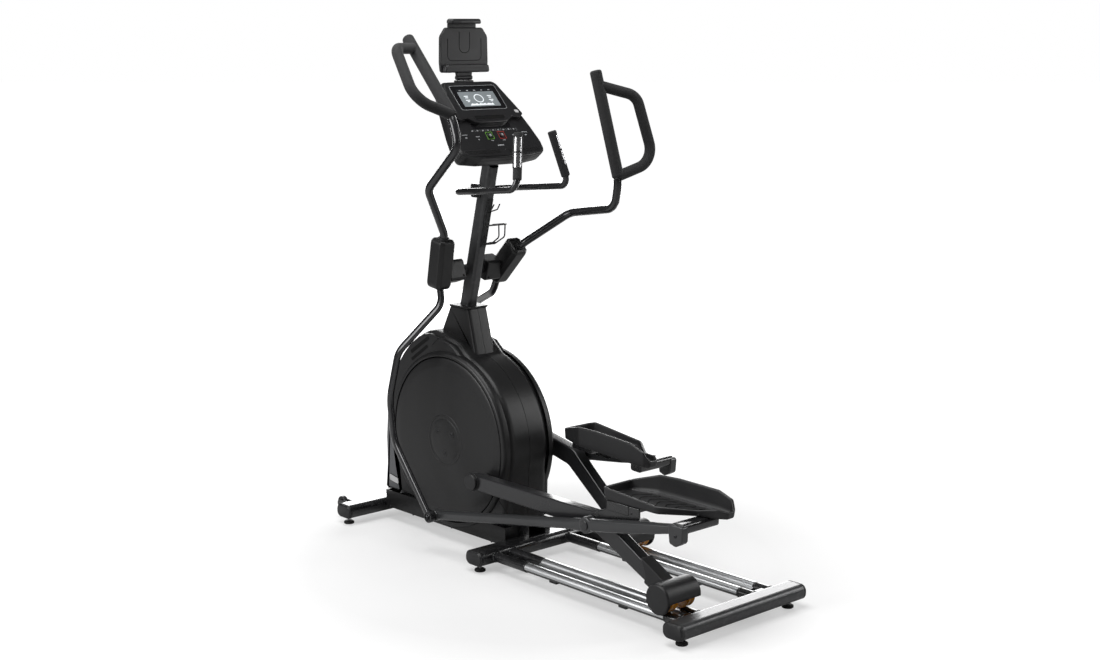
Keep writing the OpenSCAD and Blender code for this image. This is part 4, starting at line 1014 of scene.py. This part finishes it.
def rim_height(x, y):
    """The rim's height above the link joint, taken from the nearest stretch of the rim line."""
    best = None
    for (xa, ya, za), (xb, yb, zb) in zip(RIM, RIM[1:] + RIM[:1]):
        run = Vector((xb - xa, yb - ya))
        t = min(1.0, max(0.0, (Vector((x - xa, y - ya))).dot(run) / run.length_squared))
        away = (Vector((xa, ya)) + run * t - Vector((x, y))).length
        if best is None or away < best[0]:
            best = (away, za + (zb - za) * t)
    return best[1]


section = [(12, 0.0, 102), (5, 0.0, 102.6), (2, 0.02, 105), (0.6, 0.3, None), (-1.6, 0.9, None),
           (-1.8, 0.985, None), (-0.8, 1.0, 1.5), (1.6, 1.0, 2.6), (4.4, 1.0, 2.2), (6.2, 1.0, 0.6),
           (7.2, 0.93, None), (8.6, 0.3, None), (10.5, 0.12, None), (14, 0.05, None),
           (19, 0.0, 109.4), (24, 0.0, 109.2)]
for s in SIDES:
    tray, body = tray_frame[s] @ scale, "pedal_link_" + s
    verts = []
    for inset, share, lift in section:
        for (x, y), (ox, oy) in zip(plan, pulled_in(plan, inset)):
            h = rim_height(x, y)
            base = 109.2 if inset > 6 else 102.6
            z = base + (h - base) * share if lift is None else (h + lift if share == 1.0 else lift)
            verts.append((ox, oy, z))
    faces = skin_faces(len(section), len(plan)) + end_faces(len(section), len(plan))
    body_shell = joined("pedal_tray_" + s, [moved((verts, faces), tray)], FINISH["pedal_plastic"],
                        body, slot="pedal_plastic", angle=50)
    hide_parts("pedal_" + s)
    ribs = []
    for k in range(8):
        x = 104 + 42 * k
        wide = min(64, 64 - (k - 4) * 16) if k > 4 else 64
        line = [(x + 44, 134 - 56, 109.8), (x + 4, 134 - 8, 109.8), (x + 4, 134 + 8, 109.8),
                (x + 40, 134 + wide, 109.8)]
        ribs.append(moved(tube(route(line, [16, 16], 4), 2.2, 8, (0, 0, 1), 3.0), tray))
    joined("pedal_tread_" + s, ribs, FINISH["foot_rubber"], body, slot="pedal_plastic", angle=60)
print("links and pedals built")

# %% [markdown]
# ## Pivot covers, mast and bottle cage
# The covers over the handlebar pivots are eight-sided moulded boxes with rolled ends. The bottle
# cage is bent wire on a strip that follows the slope of the mast.

# %% Pivot covers
for s in SIDES:
    place, body = swing_frame[s] @ scale, "handlebar_" + s
    upright = swing_frame[s] @ scale @ turned((30, 160, 36), 27)
    eight = rounded([(-42, -24), (-28, -38), (28, -38), (42, -24), (42, 24), (28, 38), (-28, 38),
                     (-42, 24)], 7, 4)
    tall = loft(eight, [(-104, 20), (-102, 12), (-97, 5), (-88, 1.2), (-78, 0), (76, 0), (86, 1.2),
                        (92, 5), (95, 10), (96, 17)], "XY")
    square = rounded([(-42, -42), (42, -42), (42, 42), (-42, 42)], 13, 5)
    arm_box = loft(square, [(56, 5), (57, 2), (60, 0), (132, 0)])
    cover = joined("pivot_housing_" + s, [moved(tall, upright), moved(arm_box, place)],
                   FINISH["case_plastic"], body, slot="case_plastic", angle=32)
    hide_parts("pivot_cover_" + s)
    way = Vector((83, 8, 119)).normalized()
    mouth = Vector((12, 160, 16)) + Vector((83, 8, 119)) * 0.88
    joined("tube_collar_" + s,
           [moved(sleeve(foam_ends([mouth - way * 10, mouth + way * 4], 21, 2, 3), 28), place)],
           FINISH["cap_plastic"], body, slot="case_plastic", angle=40)
    dimples = [moved(lathe([(0, 42.6), (4.5, 42.5), (5.6, 41)], 20, (0, y, z), "X"), place)
               for y, z in ((124, 18), (70, -26))]
    joined("cover_dimples_" + s, dimples, GAP_BLACK, body, slot="case_plastic")

# %% Bottle cage and mast details
def behind_mast(up, out, y=0.0):
    """A point by its height and its distance behind the mast's rear face, in mm."""
    middle = mast_base + (up - BEAM_TOP) * math.tan(mast_lean)
    return middle + MAST_HALF / math.cos(mast_lean) + out, y, up


wires = [tube(route([behind_mast(1196, 3, -9), behind_mast(1378, 3, -9)], [], 2), 3.4, 10),
         tube(route([behind_mast(1196, 3, 9), behind_mast(1378, 3, 9)], [], 2), 3.4, 10)]
centre = behind_mast(1284, 56)
ring = [(centre[0] + 41 * math.cos(a), 41 * math.sin(a), 1284 + 5 * math.cos(a))
        for a in [math.radians(-158 + 316 * k / 40) for k in range(41)]]
wires.append(tube(ring, 3.2, 10, (0, 0, 1)))
lower_ring = [(behind_mast(1214, 38)[0] + 24 * math.cos(a), 24 * math.sin(a),
               1210 + 3 * math.cos(a)) for a in [math.radians(-150 + 300 * k / 28)
                                                 for k in range(29)]]
wires.append(tube(lower_ring, 2.6, 10, (0, 0, 1)))
for y in (-16, 16):
    wires.append(tube(route([(centre[0] + 37, y, 1287), (centre[0] + 36, y * 0.9, 1240),
                             (behind_mast(1206, 58)[0], y * 0.6, 1208),
                             behind_mast(1200, 2, y * 0.6)], [18, 14], 5), 2.8, 10))
    wires.append(tube(route([behind_mast(1330, 2, y * 0.5), behind_mast(1342, 34, y),
                             behind_mast(1364, 44, y * 0.9)], [10], 5), 2.6, 10))
strip = plate([(behind_mast(1190, 0.5)[0], 1190), (behind_mast(1190, 4.5)[0], 1190),
               (behind_mast(1380, 4.5)[0], 1380), (behind_mast(1380, 0.5)[0], 1380)], -13, 13)
cage = joined("bottle_cage", [moved(x, scale) for x in wires + [strip]], FINISH["trim_plastic"],
              "frame", slot="trim_plastic", angle=50)
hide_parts("bottle_holder")
cage_bolts = [moved(bolt(behind_mast(z, 4.6), 5, "X", 1, 0.5), scale) for z in (1232, 1330)]
joined("cage_bolts", cage_bolts, BOLT_ZINC, "frame", slot="steel")
print("covers and cage built")

# %% [markdown]
# ## Rails and base
# The bright rails are half sleeves of drawn aluminium over dark tubes, so the dark tube shows
# below. Flush collars end them, and small weld beads sit where the tubes meet the cross bars.

# %% Rail sleeves
rail_z, rail_r, sheet = 57, 19, 1.8      # the tubes' middle height and radius, the sleeve's wall
sleeve_x = (150, 872)
arc = [math.radians(-8 + 196 * k / 44) for k in range(45)]
skin = [(r * math.cos(a), r * math.sin(a)) for r, run in ((rail_r, arc),
                                                          (rail_r - sheet, arc[::-1])) for a in run]
sleeves, clips, beads = [], [], []
for side in (-1, 1):
    for y in RAIL_Y:
        sleeves.append(moved(plate([(side * y + p[0], rail_z + p[1]) for p in skin], *sleeve_x,
                                   plane="YZ"), scale))
        for x in sleeve_x:
            clips.append(moved(lathe([(17.4, -5), (19.2, -5), (19.4, -3.5), (19.4, 3.5), (19.2, 5),
                                      (17.4, 5)], 40, (x, side * y, rail_z), "X"), scale))
        for x in (300, 660):
            foot = rounded([(-9, -23), (9, -23), (11, -12), (-11, -12)], 2.5, 3)
            clips.append(moved(plate([(side * y + p[0], rail_z + p[1]) for p in foot], x - 18,
                                     x + 18, plane="YZ"), scale))
        for x in (-24, 935):
            beads.append(moved(lathe([(18.6, -3.4), (21.4, -2.4), (22.4, 0), (21.0, 2.4),
                                      (18.6, 4)], 40, (x, side * y, rail_z), "X"), scale))
bright = joined("rail_half_sleeves", sleeves, FINISH["alloy"], "frame", slot="alloy", angle=40)
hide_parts("rail_sleeves")
joined("rail_clips", clips, FINISH["cap_plastic"], "frame", slot="cap_plastic", bevel=0.0006)
joined("rail_welds", beads, FINISH["frame_paint"], "frame", slot="frame_paint", angle=60)
print("rails built")

# %% [markdown]
# ## Console
# The real console is a moulded tub with a raised brow round a glass screen, a shelf slot under
# it, and a flatter field of keys above two perforated corners. The tub and the brow are lofted
# with rolled edges. What is printed or shown on the screen is generic: a gauge ring, a hill
# profile and plain marks, built as very thin raised shapes so that they stay sharp at any
# distance.

# %% Tub, face and brow
panel = console_frame @ scale
plan_half = [(0, 138), (120, 172), (230, 198), (300, 210), (352, 206), (364, 120)]
console_plan = rounded(plan_half + [(x, -y) for x, y in reversed(plan_half)],
                       [34, 90, 90, 40, 30, 60, 60, 30, 40, 90, 90, 34], 6)
tub = [moved(loft(console_plan, [(-19, 1.2), (-22, 0), (-48, 1.5), (-60, 6), (-70, 14), (-79, 27),
                                 (-84, 38), (-86, 50)], "XY"), panel)]
stand_x, stand_z = pivot.x / MM - 27, 1844.0
stem = rounded([(stand_x - 12, stand_z - 66), (stand_x + 12, stand_z - 66),
                (stand_x + 11, stand_z - 10), (stand_x - 11, stand_z - 10)], 4, 3)
tub.append(moved(plate(stem, -40, 40), scale))
tub = joined("console_tub", tub, FINISH["console_plastic"], "frame", slot="console_plastic",
             angle=30)
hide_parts("console_back")
face = [loft(console_plan, [(-18.6, 1.6), (-17, 0), (-6, 0), (-3, 0.9), (-1, 3), (0, 7)], "XY")]
lip = rounded([(326, -196), (326, -14), (334, -6), (334, 6), (326, 14), (326, 196), (350, 192),
               (357, 110), (357, -110), (350, -192)], [8, 6, 5, 5, 6, 8, 14, 40, 40, 14], 4)
face.append(loft(lip, [(-1, 0), (1.2, 0), (2.2, 1), (2.6, 2.6)], "XY"))
face = joined("console_deck", [moved(x, panel) for x in face], FINISH["console_plastic"], "frame",
              slot="console_plastic", angle=30)
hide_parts("console_face")
brow_half = [(6, 126), (110, 158), (176, 178), (194, 150), (186, 112), (206, 84), (211, 62)]
brow_line = rounded(brow_half + [(x, -y) for x, y in reversed(brow_half)],
                    [30, 60, 9, 8, 14, 10, 6, 6, 10, 14, 8, 9, 60, 30], 5)


def raised(shape, low=0.55, high=1.75, end=211):
    """The shape with its height grown from low times at the top edge to high times at the shelf."""
    return [(x, y, w * (low + (high - low) * max(0, x) / end)) for x, y, w in shape[0]], shape[1]


brow = loft(brow_line, [(-0.5, 0), (7.6, 0), (9.2, 0.8), (10, 2.8)], "XY")
joined("console_brow", [moved(raised(brow), panel)], FINISH["console_plastic"], "frame",
       slot="console_plastic", angle=30)


def block(x0, x1, y0, y1, low, high, r=2.0):
    """A thin rounded rectangle on the brow or the deck."""
    return plate(rounded([(x0, y0), (x1, y0), (x1, y1), (x0, y1)], r, 4), low, high, "XY")


# a thin gloss black band under the brow's lower edge: partly the real dark gloss surface there, partly painted
# shade that stands in for the shadow the brow casts on the deck
under_brow_band = [block(198, 228, -96, 96, 0.1, 0.9, 12)]
joined("under_brow_gloss_shade_band", [moved(x, panel) for x in under_brow_band], GLOSS_BLACK, "frame",
       slot="console_plastic")
joined("screen_glass_plate", [moved(raised(block(28, 146, -112, 112, 9.6, 10.5, 9)), panel)],
       GLOSS_BLACK, "frame", slot="screen")
rim_out = rounded([(26, -115), (148, -115), (148, 115), (26, 115)], 11, 5)
joined("screen_rim", [moved(raised(frame_plate(rim_out, pulled_in(rim_out, 1.5), 9.8, 10.9)),
                            panel)], PRINT_GREY, "frame", slot="screen")
display = joined("screen_display", [moved(raised(block(58, 132, -90, 90, 10.2, 10.8, 2)), panel)],
                 FINISH["screen"], "frame", slot="screen")
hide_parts("console_screen")
picture = []
ring_out = [(92 + 21 * math.cos(a), 23 * math.sin(a))
            for a in [math.radians(12 * k) for k in range(30)]]
picture.append(frame_plate(ring_out, pulled_in(ring_out, 4), 10.6, 11.1))
hill = [(127, -58)] + [(127 - 4 - 7 * abs(math.sin(k * 1.9)), -56 + 8 * k)
                       for k in range(15)] + [(127, 60)]
picture.append(plate(hill, 10.6, 11.1, "XY"))
for side in (-1, 1):
    for x, wide in ((78, 20), (86, 14), (98, 22), (105, 12)):
        picture.append(block(x, x + 4, side * 58 - wide / 2, side * 58 + wide / 2, 10.6, 11.1, 1.2))
joined("screen_picture", [moved(raised(x), panel) for x in picture], SCREEN_LIGHT, "frame",
       slot="screen", smooth=False)
top_bar = [block(44, 57.4, -90, 90, 10.2, 10.8, 1.5)]
joined("screen_top_bar", [moved(raised(x), panel) for x in top_bar], SCREEN_DARK, "frame",
       slot="screen")
icons = [block(49, 53, y - 5, y + 5, 10.6, 11.1, 1.5) for y in (-72, -36, 0, 36, 72)]
joined("screen_icons", [moved(raised(x), panel) for x in icons], PRINT_GREY, "frame", slot="screen",
       smooth=False)
slot_out = rounded([(176, -84), (199, -72), (199, 72), (176, 84)], 9, 5)
joined("shelf_slot", [moved(raised(plate(pulled_in(slot_out, 2.2), 9.4, 10.25, "XY")), panel)],
       GAP_BLACK, "frame", slot="console_plastic")
joined("shelf_slot_rim",
       [moved(raised(frame_plate(slot_out, pulled_in(slot_out, 2.4), 9.4, 10.7)), panel)],
       FINISH["console_plastic"], "frame", slot="console_plastic")
joined("brow_label", [moved(raised(block(156, 170, 142, 160, 9.4, 10.4, 2)), panel)], LABEL_WHITE,
       "frame", slot="console_plastic")
print("console lofted")

# %% Keys, printed marks and perforated corners
marks = []
for k in range(9):
    y = -104 + 26 * k
    marks.append(block(234, 239, y - 4, y + 4, 0, 0.35, 1.4))
    marks.append(block(232, 241, y + 12.5, y + 13.3, 0, 0.35, 0.3))
for y in (-150, 150):
    marks += [block(252, 255, y - 14, y + 14, 0, 0.35, 0.9),
              block(264, 270, y - 5, y + 5, 0, 0.35, 2)]
for y, wide in ((-92, 18), (92, 20), (-92, 7), (92, 8)):
    x = 262 if wide > 10 else 276
    marks.append(block(x, x + 3.4, y - wide / 2, y + wide / 2, 0, 0.35, 1))
for y in (-30, 30):
    marks.append(block(284, 287, y - 7, y + 7, 0, 0.35, 0.9))
marks.append(block(306, 311, -16, 16, 0, 0.35, 1))
joined("console_marks", [moved(x, panel) for x in marks], PRINT_GREY, "frame",
       slot="console_plastic", smooth=False)
for y, finish_here, name in ((-30, GREEN_RING, "start"), (30, RED_RING, "stop")):
    square = rounded([(245, y - 17), (279, y - 17), (279, y + 17), (245, y + 17)], 3, 3)
    joined(name + "_key_outline",
           [moved(frame_plate(square, pulled_in(square, 1.6), 0, 0.5), panel)], finish_here,
           "frame", slot="console_plastic")
    joined(name + "_key_mark", [moved(block(257, 267, y - 4, y + 4, 4.4, 4.8, 1.5), panel)],
           PRINT_GREY, name + "_key", slot="key_green" if y < 0 else "key_red", smooth=False)
holes = []
for row in range(4):
    for k in range(32):
        y = 24 + 5.2 * k + (2.6 if row % 2 else 0)
        if y < 190 - 3 * row:
            for side in (-1, 1):
                line = [(331 + 4.6 * row + 1.7 * math.cos(a), side * y + 1.7 * math.sin(a))
                        for a in [math.radians(60 * j) for j in range(6)]]
                holes.append(moved(plate(line, 2.3, 2.85, "XY"), panel))
joined("vent_holes", holes, GAP_BLACK, "frame", slot="console_plastic", smooth=False)
print("console marks and vents placed")

# %% [markdown]
# ## Tablet holder
# The holder is a moulded back plate on a barrel hinge, with a shelf lip below and a spring clip
# that slides up above. Nested U lines stiffen the plate. They are drawn as thin half-buried
# beads.

# %% Back plate, lip, hinge barrel and clip
towards_user = Matrix(((0, 1, 0, 0), (1, 0, 0, 0), (0, 0, 1, 0), (0, 0, 0, 1)))
stand = Matrix.Translation((stand_x * MM, 0, stand_z * MM)) @ scale @ towards_user
back_line = rounded([(-116, 20), (116, 20), (120, 60), (118, 158), (92, 192), (-92, 192),
                     (-118, 158), (-120, 60)], [12, 12, 60, 26, 14, 14, 26, 60], 6)
holder = [loft(back_line, [(-8, 5), (-7, 1.8), (-5, 0), (2, 0), (4.5, 1), (6, 3.4)])]
shelf_line = rounded([(-112, 20), (112, 20), (108, 46), (96, 52), (-96, 52), (-108, 46)],
                     [8, 8, 8, 8, 8, 8], 4)
holder.append(loft(shelf_line, [(5, 0), (20, 0), (25, 1), (27.4, 3.5), (28, 7)]))
holder.append(moved(lathe([(0, -38), (8.4, -38), (9.6, -36.6), (9.6, 36.6), (8.4, 38), (0, 38)],
                          40), towards_user.inverted()))
holder.append(loft(rounded([(-36, 2), (36, 2), (40, 24), (-40, 24)], 4, 3),
                   [(-6, 1), (-5, 0), (4, 0), (5, 1)]))
holder = joined("tablet_back", [moved(x, stand) for x in holder], FINISH["trim_plastic"],
                "tablet_holder", slot="trim_plastic", angle=30)
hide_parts("tablet_holder")
beads = []
for half_wide, low, high, r in ((26, 96, 176, 22), (84, 66, 150, 20)):
    u_line = route([(-half_wide, 6.0, high), (-half_wide, 6.0, low), (half_wide, 6.0, low),
                    (half_wide, 6.0, high)], [r, r], 8)
    beads.append(moved(tube(u_line, 1.1, 8, (0, 1, 0)), stand))
joined("holder_beads", beads, GAP_BLACK, "tablet_holder", slot="trim_plastic", angle=60)
clip_line = rounded([(-72, -13), (72, -13), (84, 4), (70, 24), (30, 28), (-30, 28), (-70, 24),
                     (-84, 4)], [6, 6, 10, 12, 40, 40, 12, 10], 5)
clip = [loft(clip_line, [(206, 4), (207.5, 1.2), (210, 0), (216, 0), (221, 1.6), (224, 4.6),
                         (225.6, 9)], "XY"), plate(rounded([(-70, 134), (70, 134), (70, 214),
                                                            (-70, 214)], 8, 4), -12.8, -8.6)]
clip = joined("tablet_clip_cap", [moved(x, stand) for x in clip], FINISH["trim_plastic"],
              "tablet_clip", slot="trim_plastic", angle=30)
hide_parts("tablet_clip")
print("tablet holder built")

# %% [markdown]
# ## Housing trim
# A band stands round each disc, so the disc looks set into the case with a dark gap. The front of
# the case has a silver skin that wraps a hand's width on to the sides, and a blank badge sits at
# its foot.

# %% Disc bands, silver wings, arch seams and badges
band_profile = [(334.5, 117), (334.5, 127), (335.6, 129.6), (338, 130.8), (344, 130.4),
                (350, 127.6), (354.5, 122), (356.5, 115), (356.8, 100)]
wing_line = rounded([(-420.6, -291.4), (-425.6, -60), (-418.6, 30), (-404.6, 110), (-386, 172),
                     (-366, 150), (-362, 60), (-352, -60), (-330, -180), (-304, -291.4)],
                    [4, 60, 60, 60, 6, 30, 60, 60, 60, 4], 4)
wing_roll = [(20, 0), (70.4, 0), (80.4, 0.8), (87.4, 3.5), (92, 8), (95.5, 10.5), (106.5, 11),
             (112, 12.2), (116, 15.5), (118, 20)]
badge_line = rounded([(-398, -214), (-334, -226), (-326, -256), (-390, -246)], 9, 5)
for s in SIDES:
    place = mirrored(s, NEAR_CRANK)
    joined("disc_band_" + s, [moved(lathe(band_profile, 160), place)], FINISH["case_plastic"],
           "frame", slot="case_plastic", angle=40)
    joined("disc_gap_" + s,
           [moved(lathe([(329, 117.6), (329, 118.4), (335, 118.4), (335, 117.6)], 96), place)],
           GAP_BLACK, "frame", slot="case_plastic")
    joined("silver_wing_" + s, [moved(loft(wing_line, wing_roll), place)], FINISH["panel_grey"],
           "frame", slot="panel_grey", angle=28)
    joined("badge_rim_" + s, [moved(plate(badge_line, 116, 119.6), place)], GAP_BLACK, "frame",
           slot="panel_grey")
    joined("badge_" + s,
           [moved(loft(pulled_in(badge_line, 2.4), [(118, 0), (120.4, 0), (121.2, 0.9)]), place)],
           LABEL_WHITE, "frame", slot="panel_grey")
    arch = [(-96, 370), (-60, 401), (-15, 416), (40, 413), (86, 396), (112, 372)]
    seams = [tube([(x, 117.6 if k in (0, 5) else 116.8, z) for k, (x, z) in enumerate(arch)], 0.9,
                  6, (0, 1, 0))]
    joined("arch_seam_" + s, [moved(x, place) for x in seams], GAP_BLACK, "frame",
           slot="case_plastic")
print("housing trim placed")

# %% [markdown]
# ## Rail sheets
# Between the two tubes of a rail the bright sheet dips in a shallow valley, so one pressing
# covers both.

# %% Valley sheets
valley, thin = [], 1.6
for side in (-1, 1):
    upper = [(146 + 17.6, 63), (168, 57.5), (176, 54), (188, 52.6), (200, 54), (208, 57.5),
             (230 - 17.6, 63)]
    line = [(side * y, z) for y, z in upper + [(y, z - thin) for y, z in reversed(upper)]]
    valley.append(moved(plate(line, *sleeve_x, plane="YZ"), scale))
joined("rail_valley_sheets", valley, FINISH["alloy"], "frame", slot="alloy", angle=40)
print("rail sheets placed")

# %% Floor
def white_floor():
    m = bpy.data.materials.new("white_floor")
    m.use_nodes = True
    shader = m.node_tree.nodes["Principled BSDF"]
    shader.inputs["Base Color"].default_value = (0.50, 0.50, 0.50, 1)
    shader.inputs["Roughness"].default_value = 0.9
    shader.inputs["Specular IOR Level"].default_value = 0.1
    shader.inputs["Emission Color"].default_value = (1, 1, 1, 1)
    t = m.node_tree
    seen_by_lens = t.nodes.new("ShaderNodeLightPath")
    place = t.nodes.new("ShaderNodeTexCoord")
    reach = t.nodes.new("ShaderNodeVectorMath")
    reach.operation = "LENGTH"
    t.links.new(place.outputs["Object"], reach.inputs[0])
    lift = t.nodes.new("ShaderNodeMapRange")     # the sweep is brighter away from the machine
    lift.inputs["From Min"].default_value = 0.9
    lift.inputs["From Max"].default_value = 2.6
    lift.inputs["To Min"].default_value = 0.42
    lift.inputs["To Max"].default_value = 1.0
    t.links.new(reach.outputs["Value"], lift.inputs["Value"])
    t.links.new(math_node(t, "MULTIPLY", lift.outputs["Result"],
                          seen_by_lens.outputs["Is Camera Ray"]),
                shader.inputs["Emission Strength"])
    return m


floor_mesh = bpy.data.meshes.new("floor")
floor_mesh.from_pydata([(-60, -60, 0), (60, -60, 0), (60, 60, 0), (-60, 60, 0)], [], [(0, 1, 2, 3)])
floor_mesh.materials.append(white_floor())
floor = bpy.data.objects.new("floor", floor_mesh)
bpy.context.scene.collection.objects.link(floor)

# %% Update the scene
bpy.context.view_layer.update()
